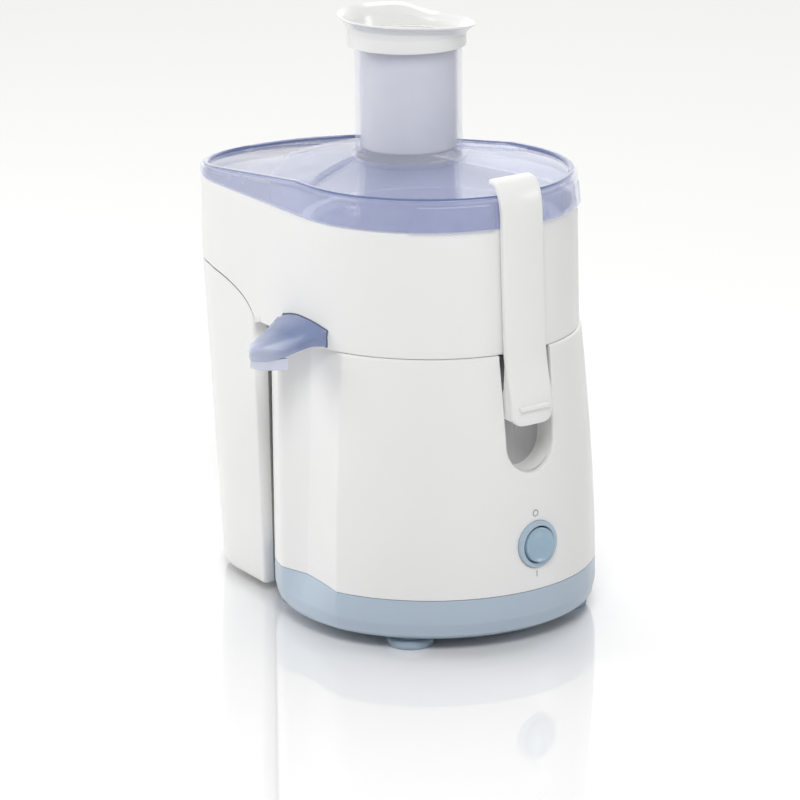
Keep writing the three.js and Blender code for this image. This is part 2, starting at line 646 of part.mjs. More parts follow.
/** Plan shrunk from the teardrop towards a circle round the feed tube. */
function lidRing(share, radius) {
  const outline = teardrop(PLAN.drumTop - 1.2, PLAN.tail - 1.6);
  return outline.map((p) => {
    const fromTube = p.clone().setX(p.x - TUBE.x);
    const onCircle = fromTube.clone().setLength(radius);
    const q = fromTube.lerp(onCircle, share);
    return q.setX(q.x + TUBE.x);
  });
}

function lidBody(inset, drop) {
  const skirt = teardrop(PLAN.drumTop + 0.8 - inset, PLAN.tail + 0.3 - inset);
  const rim = teardrop(PLAN.drumTop - 0.1 - inset, PLAN.tail - 0.6 - inset);
  const shoulder = lidRing(0.03 + inset / 60, TUBE.radius);
  const crown = (share) => (p) => lerp(rimHeight(p), LID.crown, share) - drop;
  return skin([
    lift(skirt, drop ? LID.bottom - 12 : LID.bottom),
    lift(rim, (p) => rimHeight(p) - 1.4 - drop),
    lift(shoulder, (p) => rimHeight(p) - drop),
    lift(lidRing(0.6, 33), crown(0.5)),
    lift(lidRing(1, 29), LID.crown - drop),
  ]);
}

function lid() {
  const shell = cut(lidBody(0, 0), lidBody(LID.wall, LID.wall));
  const clipped = shell.intersect(box([-200, 200], [-200, 200], [LID.bottom, 400]));
  const tube = rod(TUBE.radius, TUBE.bottom, TUBE.top, TUBE.x, 0, 36);
  const collar = turned([[20, 234], [TUBE.collar, 235], [TUBE.collar, 237.6], [20, 238.2], [20, 234]], 36)
    .translate([TUBE.x, 0, 0]);
  const bore = rod(TUBE.bore, TUBE.bottom - 5, TUBE.top + 5, TUBE.x, 0, 36);
  return cut(join(clipped, tube, collar), bore);
}

/** Height of the pusher's lip round the cup: high behind, lower at the right, with a step between. */
function lipHeight(x, y) {
  const { high, wave, crest, drop, fall, climb } = LIP_STEP;
  let angle = THREE.MathUtils.radToDeg(Math.atan2(y, x));
  if (angle < -118) angle += 360;
  return high + wave * Math.cos(radians(angle - crest))
    - drop * (smoothstep(angle, ...fall) - smoothstep(angle, ...climb));
}

/** The pusher's outline as [radius, height, how far the point follows the lip's height]. */
function pusherProfile() {
  const { bottom, stem, cup, skirtBottom, skirt, skirtBore, lip, lipTop } = PUSHER;
  const seat = TUBE.top + GAP;
  return [[0, bottom, 0], [stem - 1.5, bottom, 0], [stem, bottom + 1.5, 0], [stem, seat, 0],
    [skirtBore, seat, 0], [skirtBore, skirtBottom, 0], [skirt, skirtBottom, 0], [skirt, 300.5, 0],
    [31.4, 303, 0.75], [33.2, 305, 0.95], [lip, lipTop - 1.1, 1], [lip, lipTop, 1], [lip - 1.4, lipTop + 0.2, 1],
    [31.2, 305.8, 1], [28.8, 303.6, 0.9], [cup + 2, 302.2, 0.6], [cup, 300.5, 0.2],
    [cup, bottom + WALL, 0], [0, bottom + WALL, 0]];
}

function pusher() {
  const facets = 36;
  const profile = pusherProfile();
  const geometry = new THREE.LatheGeometry(profile.map(([r, z]) => new THREE.Vector2(r, z)), facets);
  geometry.rotateX(Math.PI / 2);
  const points = geometry.attributes.position;
  for (let i = 0; i < points.count; i += 1) {
    const [radius, , follow] = profile[i % profile.length];
    const [x, y] = [points.getX(i), points.getY(i)];
    const aside = smoothstep(radius, PUSHER.stem, PUSHER.skirt);
    if (follow) points.setZ(i, points.getZ(i) + (lipHeight(x, y) - PUSHER.lipTop) * follow);
    points.setXY(i, x + PUSHER.offset[0] * aside, y + PUSHER.offset[1] * aside);
  }
  return solid(geometry).translate([TUBE.x, 0, 0]);
}

// ---------------------------------------------------------------- pulp container

function pulpContainer() {
  const { bottom, wall } = CONTAINER;
  const top = EDGE.high + 1;
  const outer = [[bottom, 1.4], [bottom + 1.2, 0.3], [bottom + 3, 0], [60, 0], [115, 0], [top, 0]];
  const outside = skin(outer.map(([z, inset]) => lift(containerOutline(z, inset, inset * 1.5, inset / 4), z)));
  const inner = [bottom + wall, 60, 115, top + 1];
  const inside = skin(inner.map((z) => lift(containerOutline(z, wall, 9), z)));
  return cut(outside, inside).intersect(underEdge(-0.4));
}

// ---------------------------------------------------------------- clamp

/** Strap that runs from the tab by the pivot up to the hook over the lid's rim. */
function clampStrap() {
  return new THREE.Shape([...CLAMP_FACE, ...CLAMP_BACK].map(([x, z]) => new THREE.Vector2(x, z)));
}

/** The strap seen from the nose: round-cornered tab below, leaning a little sideways above. */
function clampFront() {
  const { centreY, lean, halfWidth, bottom, straight, tip } = CLAMP;
  const corner = 6;
  const [left, right] = [centreY - halfWidth, centreY + halfWidth];
  const front = new THREE.Shape();
  front.moveTo(left + corner, bottom);
  front.lineTo(right - corner, bottom);
  front.quadraticCurveTo(right, bottom, right, bottom + corner);
  front.lineTo(right, straight);
  front.lineTo(right + lean, tip + 1);
  front.lineTo(left + lean, tip + 1);
  front.lineTo(left, straight);
  front.lineTo(left, bottom + corner);
  front.quadraticCurveTo(left, bottom, left + corner, bottom);
  return front;
}

function clamp() {
  const { pivotX, pivotZ, centreY } = CLAMP;
  const strap = acrossY(clampStrap(), centreY - 20, centreY + 20);
  const face = strap.intersect(acrossX(clampFront(), 60, 100));
  const rib = rodAlongY(1.2, centreY - 9.5, centreY + 9.5, 85.5, pivotZ, 12);
  const ears = [-1, 1].map((side) => {
    const y = [10, 12.5].map((v) => centreY + v * side).sort((a, b) => a - b);
    return join(
      rodAlongY(5, ...y, pivotX, pivotZ, 16),
      box([pivotX, 83], y, [pivotZ - 5, pivotZ + 5]),
    );
  });
  const bore = rodAlongY(PIN_RADIUS + GAP, -20, 20, pivotX, pivotZ, 20);
  return cut(join(face, rib, ...ears), bore);
}

const clampPin = () => rodAlongY(PIN_RADIUS, -17.5, 17.5, CLAMP.pivotX, CLAMP.pivotZ, 20);

// ---------------------------------------------------------------- materials and assembly

const paint = (color, roughness, metalness = 0, extra = {}) => new THREE.MeshStandardMaterial(
  { color, roughness, metalness, ...extra });

const WHITE = paint('#e9e9e7', 0.32);
const LAVENDER = paint('#b4bbe0', 0.12, 0, { transparent: true, opacity: 0.55 });
const BLUE_GREY = paint('#acbbcc', 0.4);
const ROCKER_BLUE = paint('#9fb9cf', 0.3);
const STEEL = paint('#b8bcc0', 0.28, 1);
const LAMINATION = paint('#5c6066', 0.5, 1);
const COPPER = paint('#b06a35', 0.35, 1);
const CARBON = paint('#26282b', 0.8);
const RUBBER = paint('#2c2e31', 0.85);
const BLACK = paint('#202225', 0.5);

const juicer = new THREE.Group();

function place(name, body, material) {
  const mesh = new THREE.Mesh(geometryOf(body), material);
  mesh.name = name;
  juicer.add(mesh);
}

place('base_plate', basePlate(), BLUE_GREY);
place('motor_housing', motorHousing(), WHITE);
for (const [side, x] of [['nose', FOOT.x], ['tail', -FOOT.x]]) {
  place(`foot_${side}_front`, foot(x, -FOOT.y), BLUE_GREY);
  place(`foot_${side}_back`, foot(x, FOOT.y), BLUE_GREY);
}
SCREW_ANGLES.forEach((angle, i) => place(`base_screw_${i + 1}`, baseScrew(angle), STEEL));
place('cord_gland', cordGland(), BLUE_GREY);

place('switch_bezel', switchBezel(), BLUE_GREY);
place('switch_rocker', switchRocker(), ROCKER_BLUE);
place('switch_body', switchBody(), BLACK);
place('interlock_switch', interlockSwitch(), BLACK);

place('motor_stator', motorStator(), LAMINATION);
place('field_coil_nose', fieldCoil(0), COPPER);
place('field_coil_tail', fieldCoil(180), COPPER);
place('lower_bracket', lowerBracket(), STEEL);
place('upper_bracket', upperBracket(), STEEL);
place('lower_bearing', bearing(28.2), STEEL);
place('upper_bearing', bearing(109), STEEL);
place('brush_holder_front', brushHolder(-90), BLACK);
place('brush_holder_back', brushHolder(90), BLACK);
place('carbon_brush_front', carbonBrush(-90), CARBON);
place('carbon_brush_back', carbonBrush(90), CARBON);
let damperCount = 0;
for (const x of [-28, 28]) {
  for (const y of [-24, 24]) {
    damperCount += 1;
    place(`motor_damper_${damperCount}`, damper(x, y), RUBBER);
  }
}
place('shaft_seal', ring(SHAFT.radius + 0.5, HOUSING.deckHole - GAP, 148.6, 151, SMALL), RUBBER);

place('motor_shaft', motorShaft(), STEEL);
place('rotor_core', sleeve(18, STATOR.low + 1, STATOR.high - 1, 40), LAMINATION);
place('armature_winding_top', armatureWinding(STATOR.high - 0.7, 89), COPPER);
place('armature_winding_bottom', armatureWinding(44, STATOR.low + 0.7), COPPER);
place('commutator', sleeve(11, 92, 104), COPPER);
place('cooling_fan', coolingFan(), BLACK);
place('drive_coupling', driveCoupling(), BLACK);
place('grater_disc', graterDisc(), STEEL);
place('sieve_foot_ring', basketFoot(), WHITE);
place('sieve_basket', sieveBasket(), STEEL);
place('sieve_rim', sieveRim(), WHITE);

place('juice_collector', juiceCollector(), WHITE);
place('spout', spout(), LAVENDER);
place('lid', lid(), LAVENDER);
place('pusher', pusher(), WHITE);
place('pulp_container', pulpContainer(), WHITE);
place('clamp', clamp(), WHITE);
place('clamp_pin', clampPin(), STEEL);

const bounds = new THREE.Box3().setFromObject(juicer, true);
juicer.position.set(-(bounds.min.x + bounds.max.x) / 2, -(bounds.min.y + bounds.max.y) / 2, -bounds.min.z);

export default juicer;
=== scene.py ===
import json
import math

import bmesh
import bpy
from mathutils import Matrix, Quaternion, Vector


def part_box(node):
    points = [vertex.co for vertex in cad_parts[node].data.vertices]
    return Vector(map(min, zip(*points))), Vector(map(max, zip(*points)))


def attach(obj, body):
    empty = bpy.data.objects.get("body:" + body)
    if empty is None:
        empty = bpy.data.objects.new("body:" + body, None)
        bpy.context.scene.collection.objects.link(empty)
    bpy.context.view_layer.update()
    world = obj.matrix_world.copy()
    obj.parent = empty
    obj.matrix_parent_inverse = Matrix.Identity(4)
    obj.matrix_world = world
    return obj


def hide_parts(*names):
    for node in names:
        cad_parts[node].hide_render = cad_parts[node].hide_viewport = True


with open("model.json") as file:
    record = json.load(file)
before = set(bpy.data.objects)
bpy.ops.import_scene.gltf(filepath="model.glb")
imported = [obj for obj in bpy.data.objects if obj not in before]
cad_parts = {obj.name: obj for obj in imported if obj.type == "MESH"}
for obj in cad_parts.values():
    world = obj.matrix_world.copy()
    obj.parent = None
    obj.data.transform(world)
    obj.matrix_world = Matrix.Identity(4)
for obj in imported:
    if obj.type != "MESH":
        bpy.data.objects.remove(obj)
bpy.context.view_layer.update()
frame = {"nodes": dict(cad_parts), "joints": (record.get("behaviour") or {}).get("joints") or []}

# ---- places, from the frame
# Shapes are written in millimetres round the drum axis, with the table at z = 0.

MM = 0.001
JOINTS = {joint["name"]: joint for joint in frame["joints"]}
DRUM = Vector(JOINTS["drive_spin"]["pos_m"])
PIVOT = (Vector(JOINTS["clamp_swing"]["pos_m"]) - DRUM) / MM
PIVOT.z = JOINTS["clamp_swing"]["pos_m"][2] / MM


def box_mm(node):
    """Lowest and highest corners of a CAD node, in millimetres round the drum axis."""
    axis = Vector((DRUM.x, DRUM.y, 0))
    return [(corner - axis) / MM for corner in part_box(node)]


def to_row(x, y, z):
    return Vector((DRUM.x + x * MM, DRUM.y + y * MM, z * MM))


HOUSING_LOW, HOUSING_HIGH = box_mm("motor_housing")
BASE_LOW, BASE_HIGH = box_mm("base_plate")
LID_LOW, LID_HIGH = box_mm("lid")
BOWL_HIGH = box_mm("juice_collector")[1]
BIN_LOW = box_mm("pulp_container")[0]

NOSE_LOW_RADIUS, NOSE_TAPER, NOSE_POWER = 84.6, 7.6, 1.6
TAIL_RADIUS = 82.5
SCOOP_START, SCOOP_END, SCOOP_MIDDLE = -109.0, -73.5, -9.0
SCOOP_DEPTH = (75.0, 70.0)
DRUM_RADIUS, DRUM_TOP_RADIUS = 76.0, 75.0
TAIL_END_RADIUS, TAIL_CENTRE = 64.0, 92.6
TAIL_LEAN = math.asin((DRUM_RADIUS - TAIL_END_RADIUS) / TAIL_CENTRE)
BOWL_FOOT = 151.5
BIN_TOP, BIN_INNER_RADIUS = 171.0, 85.8
LID_EDGE, LID_RIM, LID_SLOPE, LID_SLOPE_START, LID_CROWN = 216.0, 231.5, 0.103, -20.0, 236.4
TUBE_X, TUBE_RADIUS, TUBE_BORE = -17.6, 27.65, 25.4
SEAM_GAP = 0.3


# ---- small maths

def lerp(a, b, t):
    return a + (b - a) * t


def smoothstep(value, low, high):
    t = min(max((value - low) / (high - low), 0.0), 1.0)
    return t * t * (3 - 2 * t)


def polar(radius, degrees):
    angle = math.radians(degrees)
    return Vector((radius * math.cos(angle), radius * math.sin(angle)))


def smooth_line(points, steps=6):
    """A smooth curve through points."""
    line = []
    for i in range(len(points) - 1):
        a, b = points[i], points[i + 1]
        before, after = points[max(i - 1, 0)], points[min(i + 2, len(points) - 1)]
        pull_a, pull_b = (b - before) / 6, (after - a) / 6
        line += [bezier(a, a + pull_a, b - pull_b, b, k / steps) for k in range(steps)]
    return line + [points[-1]]


def bezier(p0, p1, p2, p3, t):
    s = 1 - t
    return p0 * s**3 + p1 * 3 * s * s * t + p2 * 3 * s * t * t + p3 * t**3


def rounded(corners, steps=5, closed=True):
    """A flat outline whose corners (x, y, radius) are rounded off."""
    points = []
    count = len(corners)
    for i, (x, y, radius) in enumerate(corners):
        here = Vector((x, y))
        if radius <= 0 or (not closed and i in (0, count - 1)):
            points.append(here)
            continue
        before = Vector(corners[i - 1][:2]) - here
        after = Vector(corners[(i + 1) % count][:2]) - here
        half = before.angle(after) / 2
        reach = min(radius / math.tan(half), before.length * 0.49, after.length * 0.49)
        a = here + before.normalized() * reach
        b = here + after.normalized() * reach
        for k in range(steps + 1):
            t = k / steps
            points.append(a * (1 - t) ** 2 + here * 2 * t * (1 - t) + b * t * t)
    return points


# ---- mesh building

def finish_mesh(name, mesh, body, material, sharp=32, replaces=()):
    """Smooth shading with crisp edges, a material, a body to ride on, a place in the scene, and the CAD parts
    it replaces hidden.
    """
    mesh.validate()
    mesh.shade_smooth()
    mesh.set_sharp_from_angle(angle=math.radians(sharp))
    piece = bpy.data.objects.new(name, mesh)
    bpy.context.scene.collection.objects.link(piece)
    piece.data.materials.clear()
    piece.data.materials.append(material)
    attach(piece, body)
    if replaces:
        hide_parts(*replaces)
    return piece


def mesh_from(name, points, faces):
    """A mesh from points in millimetres; doubles are merged and faces turned outward."""
    mesh = bpy.data.meshes.new(name)
    mesh.from_pydata([to_row(*p) for p in points], [], faces)
    work = bmesh.new()
    work.from_mesh(mesh)
    bmesh.ops.remove_doubles(work, verts=work.verts, dist=1e-6)
    bmesh.ops.dissolve_degenerate(work, edges=work.edges, dist=1e-7)
    bmesh.ops.recalc_face_normals(work, faces=work.faces)
    work.to_mesh(mesh)
    work.free()
    return mesh


def stack_faces(rings, count, ends="cap", start=0):
    """Faces between rings of equal size, capped at both ends or joined into a loop."""
    faces = []
    levels = rings if ends == "join" else rings - 1
    for level in range(levels):
        upper = (level + 1) % rings
        for i in range(count):
            j = (i + 1) % count
            faces.append((start + level * count + i, start + level * count + j,
                          start + upper * count + j, start + upper * count + i))
    if ends == "cap":
        faces.append(tuple(start + i for i in reversed(range(count))))
        faces.append(tuple(start + (rings - 1) * count + i for i in range(count)))
    return faces


def loft(name, rings, ends="cap"):
    """A mesh skinned over rings of points."""
    points = [p for ring in rings for p in ring]
    return mesh_from(name, points, stack_faces(len(rings), len(rings[0]), ends))


def strip(name, rings):
    """A bar whose section has one point on each open ring, closed at both ends."""
    count = len(rings[0])
    points = [p for ring in rings for p in ring]
    faces = []
    for k in range(len(rings)):
        here, there = k * count, (k + 1) % len(rings) * count
        faces += [(here + i, here + i + 1, there + i + 1, there + i) for i in range(count - 1)]
    faces += [tuple(k * count + end for k in range(len(rings))) for end in (0, count - 1)]
    return mesh_from(name, points, faces)


def closed_lathe(name, corners, x=0.0, y=0.0, segments=96, steps=4, closed=True):
    """A turned body from an outline of (radius, z, rounding) corners."""
    turns = [polar(1.0, 360 * i / segments) for i in range(segments)]
    rings = [[(x + max(radius, 0) * t.x, y + max(radius, 0) * t.y, z) for t in turns]
             for radius, z in rounded(corners, steps, closed)]
    return loft(name, rings, "join" if closed else "open")


def solid_lathe(*shape, **settings):
    """A turned body whose outline starts and ends on the axis."""
    return closed_lathe(*shape, closed=False, **settings)


def carve(mesh, *cutters, operation="DIFFERENCE"):
    """Cuts solids out of a mesh."""
    piece = bpy.data.objects.new("carve_work", mesh)
    bpy.context.scene.collection.objects.link(piece)
    tools = []
    for cutter in cutters:
        tool = bpy.data.objects.new("carve_tool", cutter)
        bpy.context.scene.collection.objects.link(tool)
        modifier = piece.modifiers.new("cut", "BOOLEAN")
        modifier.operation = operation
        modifier.solver = "EXACT"
        modifier.object = tool
        tools.append(tool)
    graph = bpy.context.evaluated_depsgraph_get()
    graph.update()
    result = bpy.data.meshes.new_from_object(piece.evaluated_get(graph))
    for item in [piece, *tools]:
        bpy.data.objects.remove(item)
    return result


def joined(name, *meshes):
    """Several meshes as one."""
    work = bmesh.new()
    for mesh in meshes:
        work.from_mesh(mesh)
    made = bpy.data.meshes.new(name)
    work.to_mesh(made)
    work.free()
    return made


def moved(mesh, *moves):
    """The mesh after moves about the foot of the drum axis, the last of them first."""
    foot = Vector((DRUM.x, DRUM.y, 0))
    whole = Matrix.Translation(foot)
    for move in moves:
        whole = whole @ move
    mesh.transform(whole @ Matrix.Translation(-foot))
    return mesh


def shift(x, y, z):
    return Matrix.Translation(Vector((x, y, z)) * MM)


def spin(degrees, axis):
    return Matrix.Rotation(math.radians(degrees), 4, axis)


def rounded_block(name, low, high, radius, segments=3):
    """A box with rounded edges."""
    work = bmesh.new()
    bmesh.ops.create_cube(work, size=1)
    low, high = Vector(low), Vector(high)
    for vert in work.verts:
        place = [lerp(low[k], high[k], vert.co[k] + 0.5) for k in range(3)]
        vert.co = to_row(*place)
    bmesh.ops.bevel(work, geom=work.edges[:], offset=radius * MM, segments=segments, affect="EDGES",
                    profile=0.5)
    mesh = bpy.data.meshes.new(name)
    work.to_mesh(mesh)
    work.free()
    return mesh


# ---- materials

def ranged(tree, source, *limits, smooth=False):
    """A value mapped from one range to another, 0 to 1 if the second isn't given."""
    node = tree.nodes.new("ShaderNodeMapRange")
    if smooth:
        node.interpolation_type = "SMOOTHSTEP"
    for key, value in zip(("From Min", "From Max", "To Min", "To Max"), limits):
        node.inputs[key].default_value = value
    tree.links.new(source, node.inputs["Value"])
    return node.outputs["Result"]


class Nodes:
    """Short forms for building a material's node tree."""

    def __init__(self, name):
        self.material = bpy.data.materials.new(name)
        self.material.use_nodes = True
        self.tree = self.material.node_tree
        self.shader = self.tree.nodes["Principled BSDF"]
        self.output = self.tree.nodes["Material Output"]
        coords = self.tree.nodes.new("ShaderNodeTexCoord")
        self.place = coords.outputs["Object"]

    def add(self, kind, **settings):
        node = self.tree.nodes.new(kind)
        for key, value in settings.items():
            if key in node.inputs:
                node.inputs[key].default_value = value
            else:
                setattr(node, key, value)
        return node

    def link(self, source, target):
        self.tree.links.new(source, target)

    def noise(self, scale, detail=3.0, stretch=None, roughness=0.5):
        node = self.add("ShaderNodeTexNoise", Scale=scale, Detail=detail, Roughness=roughness)
        source = self.place
        if stretch:
            mapping = self.add("ShaderNodeMapping", Scale=stretch)
            self.link(source, mapping.inputs["Vector"])
            source = mapping.outputs["Vector"]
        self.link(source, node.inputs["Vector"])
        return node.outputs["Fac"]

    def spread(self, source, low, high, from_low=0.3, from_high=0.7):
        return ranged(self.tree, source, from_low, from_high, low, high)

    def tint(self, source, dark, light):
        """A colour between two, driven by a value. Each is a colour or another node's output."""
        node = self.add("ShaderNodeMix", data_type="RGBA")
        sockets = {s.identifier: s for s in node.inputs}
        for key, colour in (("A_Color", dark), ("B_Color", light)):
            if isinstance(colour, tuple):
                sockets[key].default_value = (*colour, 1)
            else:
                self.link(colour, sockets[key])
        self.link(source, sockets["Factor_Float"])
        return next(s for s in node.outputs if s.identifier == "Result_Color")

    def fade(self, near, far):
        """From a colour at the bowl to another at the spout's tip."""
        split = self.add("ShaderNodeSeparateXYZ")
        self.link(self.place, split.inputs[0])
        return self.tint(ranged(self.tree, split.outputs["Y"], -0.078, -0.098), near, far)

    def bump(self, source, strength, distance=0.0002, after=None):
        node = self.add("ShaderNodeBump", Strength=strength, Distance=distance)
        self.link(source, node.inputs["Height"])
        if after:
            self.link(after, node.inputs["Normal"])
        return node.outputs["Normal"]

    def colour(self, *settings):
        self.link(self.tint(*settings), self.shader.inputs["Base Color"])

    def gloss(self, *settings):
        self.link(self.spread(*settings), self.shader.inputs["Roughness"])

    def relief(self, *settings):
        self.link(self.bump(*settings), self.shader.inputs["Normal"])

    def set(self, **values):
        for key, value in values.items():
            self.shader.inputs[key.replace("_", " ")].default_value = value


def shade(colour, share):
    return tuple(min(1.0, c * share) for c in colour)


def moulded_plastic(name, colour, roughness, grain=900.0, grain_depth=0.10, coat=0.25, mottle=0.015):
    """Injection-moulded plastic: flow mottling, a fine spark-eroded grain and a soft gloss."""
    m = Nodes(name)
    cloud = m.noise(22.0, 4.0)
    m.colour(cloud, shade(colour, 1 - mottle), shade(colour, 1 + mottle))
    m.gloss(m.noise(60.0, 5.0), roughness * 0.88, roughness * 1.12)
    swell = m.bump(m.noise(28.0, 2.0), 0.05, 0.0006)
    m.relief(m.noise(grain, 2.0), grain_depth, 0.00005, swell)
    m.set(Specular_IOR_Level=0.5, IOR=1.5, Coat_Weight=coat, Coat_Roughness=0.08)
    return m.material


def tinted_clear(name, colour, body=0.6, roughness=0.08, coat=0.3, tip=None):
    """Clear plastic tinted lavender blue, with faint moulding waves and a trace of haze."""
    m = Nodes(name)
    cloud = m.noise(14.0, 3.0)
    tone = m.tint(cloud, shade(colour, 0.89), shade(colour, 1.11))
    if tip:
        tone = m.fade(tone, tip)
    m.link(tone, m.shader.inputs["Base Color"])
    m.link(m.spread(m.noise(30.0, 3.0), body * 0.85, body * 1.15), m.shader.inputs["Alpha"])
    m.gloss(m.noise(45.0, 4.0), roughness * 0.7, roughness * 1.4)
    m.relief(m.noise(20.0, 2.0), 0.06, 0.0008)
    m.set(IOR=1.52, Specular_IOR_Level=0.6, Coat_Weight=coat, Coat_Roughness=0.03)
    return m.material


def brushed_steel(name, colour, roughness, stretch):
    """Steel with fine brushing along one direction."""
    m = Nodes(name)
    lines = m.noise(900.0, 3.0, stretch)
    m.colour(lines, shade(colour, 0.85), shade(colour, 1.1))
    m.gloss(lines, roughness * 0.75, roughness * 1.3)
    m.relief(lines, 0.12, 0.00005)
    m.set(Metallic=1.0, Anisotropic=0.4)
    return m.material


def etched_mesh(name, colour):
    """Stainless foil with a close pattern of etched holes."""
    m = Nodes(name)
    cells = m.add("ShaderNodeTexVoronoi", Scale=850.0, feature="F1")
    cells.inputs["Randomness"].default_value = 0.15
    m.link(m.place, cells.inputs["Vector"])
    hole = m.spread(cells.outputs["Distance"], 0.0, 1.0, 0.28, 0.36)
    m.colour(hole, (0.03, 0.03, 0.035), colour)
    m.gloss(hole, 0.9, 0.28, 0.0, 1.0)
    m.link(m.spread(hole, 0.0, 1.0, 0.0, 1.0), m.shader.inputs["Metallic"])
    m.relief(hole, 0.6, 0.0002)
    return m.material


def rubber(name, colour, roughness=0.62):
    m = Nodes(name)
    m.colour(m.noise(40.0, 5.0), shade(colour, 0.93), shade(colour, 1.05))
    m.gloss(m.noise(180.0, 4.0), roughness * 0.85, roughness * 1.15)
    m.relief(m.noise(1400.0, 2.0), 0.25, 0.00006)
    m.set(Specular_IOR_Level=0.35)
    return m.material


def wound_copper(name):
    """Varnished enamelled wire, laid side by side."""
    m = Nodes(name)
    wires = m.add("ShaderNodeTexWave", Scale=260.0, Distortion=1.5, bands_direction="Z")
    m.link(m.place, wires.inputs["Vector"])
    turns = wires.outputs["Fac"]
    m.colour(turns, (0.16, 0.05, 0.02), (0.72, 0.34, 0.14))
    m.gloss(turns, 0.5, 0.25, 0.0, 1.0)
    m.relief(turns, 0.8, 0.0004)
    m.set(Metallic=0.85, Coat_Weight=0.4)
    return m.material


def laminated_steel(name):
    """Punched sheets stacked along the shaft."""
    m = Nodes(name)
    sheets = m.add("ShaderNodeTexWave", Scale=320.0, Distortion=0.3, bands_direction="Z")
    m.link(m.place, sheets.inputs["Vector"])
    m.colour(sheets.outputs["Fac"], (0.10, 0.10, 0.11), (0.36, 0.37, 0.39))
    m.gloss(m.noise(90.0, 4.0), 0.35, 0.6)
    m.relief(sheets.outputs["Fac"], 0.6, 0.0002)
    m.set(Metallic=0.9)
    return m.material


WHITE = moulded_plastic("white_moulded_plastic", (0.86, 0.86, 0.855), 0.36)
WHITE_GLOSS = moulded_plastic("white_gloss_plastic", (0.82, 0.82, 0.81), 0.24, grain_depth=0.04, coat=0.5)
BLUE_GREY = moulded_plastic("blue_grey_plastic", (0.45, 0.54, 0.64), 0.38)
RING_BLUE = moulded_plastic("switch_ring_plastic", (0.42, 0.53, 0.63), 0.34)
ROCKER_BLUE = moulded_plastic("rocker_blue_plastic", (0.34, 0.48, 0.60), 0.26, grain_depth=0.04, coat=0.4)
CLEAR = tinted_clear("tinted_clear_plastic", (0.58, 0.64, 0.97), body=0.38, roughness=0.05, coat=0.9)
CLEAR_TUBE = tinted_clear("tinted_clear_tube", (0.76, 0.79, 1.0), body=0.24, roughness=0.04, coat=0.9)
# Dark blue for the bead inside the lid's rim: painted shade standing in for the dark line at the rim's edge.
CLEAR_RIM_SHADE = tinted_clear("tinted_clear_rim_shade", (0.16, 0.21, 0.42), body=0.8, roughness=0.06, coat=0.9)
CLEAR_SPOUT = tinted_clear("tinted_clear_spout", (0.24, 0.30, 0.50), body=0.85, roughness=0.16,
                           tip=(0.60, 0.65, 0.82))
CLEAR_LIP = tinted_clear("tinted_clear_lip", (0.72, 0.75, 0.88), body=0.8, roughness=0.12)
STEEL = brushed_steel("turned_steel", (0.62, 0.63, 0.65), 0.28, (1, 1, 40))
GRATER_STEEL = brushed_steel("grater_steel", (0.66, 0.67, 0.69), 0.24, (1, 30, 1))
FOIL = etched_mesh("etched_sieve_foil", (0.7, 0.71, 0.73))
FOOT_RUBBER = rubber("foot_rubber_blue_grey", (0.36, 0.45, 0.54))
BLACK_RUBBER = rubber("black_rubber", (0.03, 0.03, 0.032))
# Dark blue-grey for the ring behind the spout's root and the block in the catch slot: painted shade.
SPOUT_SHADE_DARK = rubber("spout_shade_rubber", (0.13, 0.16, 0.22))
BLACK_PLASTIC = moulded_plastic("black_plastic", (0.02, 0.02, 0.022), 0.5, mottle=0.06, coat=0.0)
CARBON = rubber("pressed_carbon", (0.015, 0.015, 0.017), 0.75)
COPPER = wound_copper("wound_copper")
LAMINATIONS = laminated_steel("lamination_steel")
# Grey for the floor of the clamp's recess: painted shade, darker than the white walls round it.
RECESS_PAINTED_SHADE = moulded_plastic("recess_floor_painted_shade", (0.50, 0.50, 0.505), 0.5, coat=0.0)
# Dark grey for the strip under the collector's swept edge: painted shade in the gap over the pulp container.
CHANNEL_SHADE_GREY = rubber("channel_shadow_strip_rubber", (0.20, 0.20, 0.21))
MARK_GREY = moulded_plastic("printed_mark_grey", (0.32, 0.35, 0.38), 0.5, coat=0.0)


# ---- outlines

def nose_radius(z):
    if z <= HOUSING_LOW.z:
        return lerp(85.0, 84.8, smoothstep(z, 11.5, 27.8))
    t = min(max((z - 28.0) / 123.5, 0.0), 1.0)
    return NOSE_LOW_RADIUS - NOSE_TAPER * t**NOSE_POWER


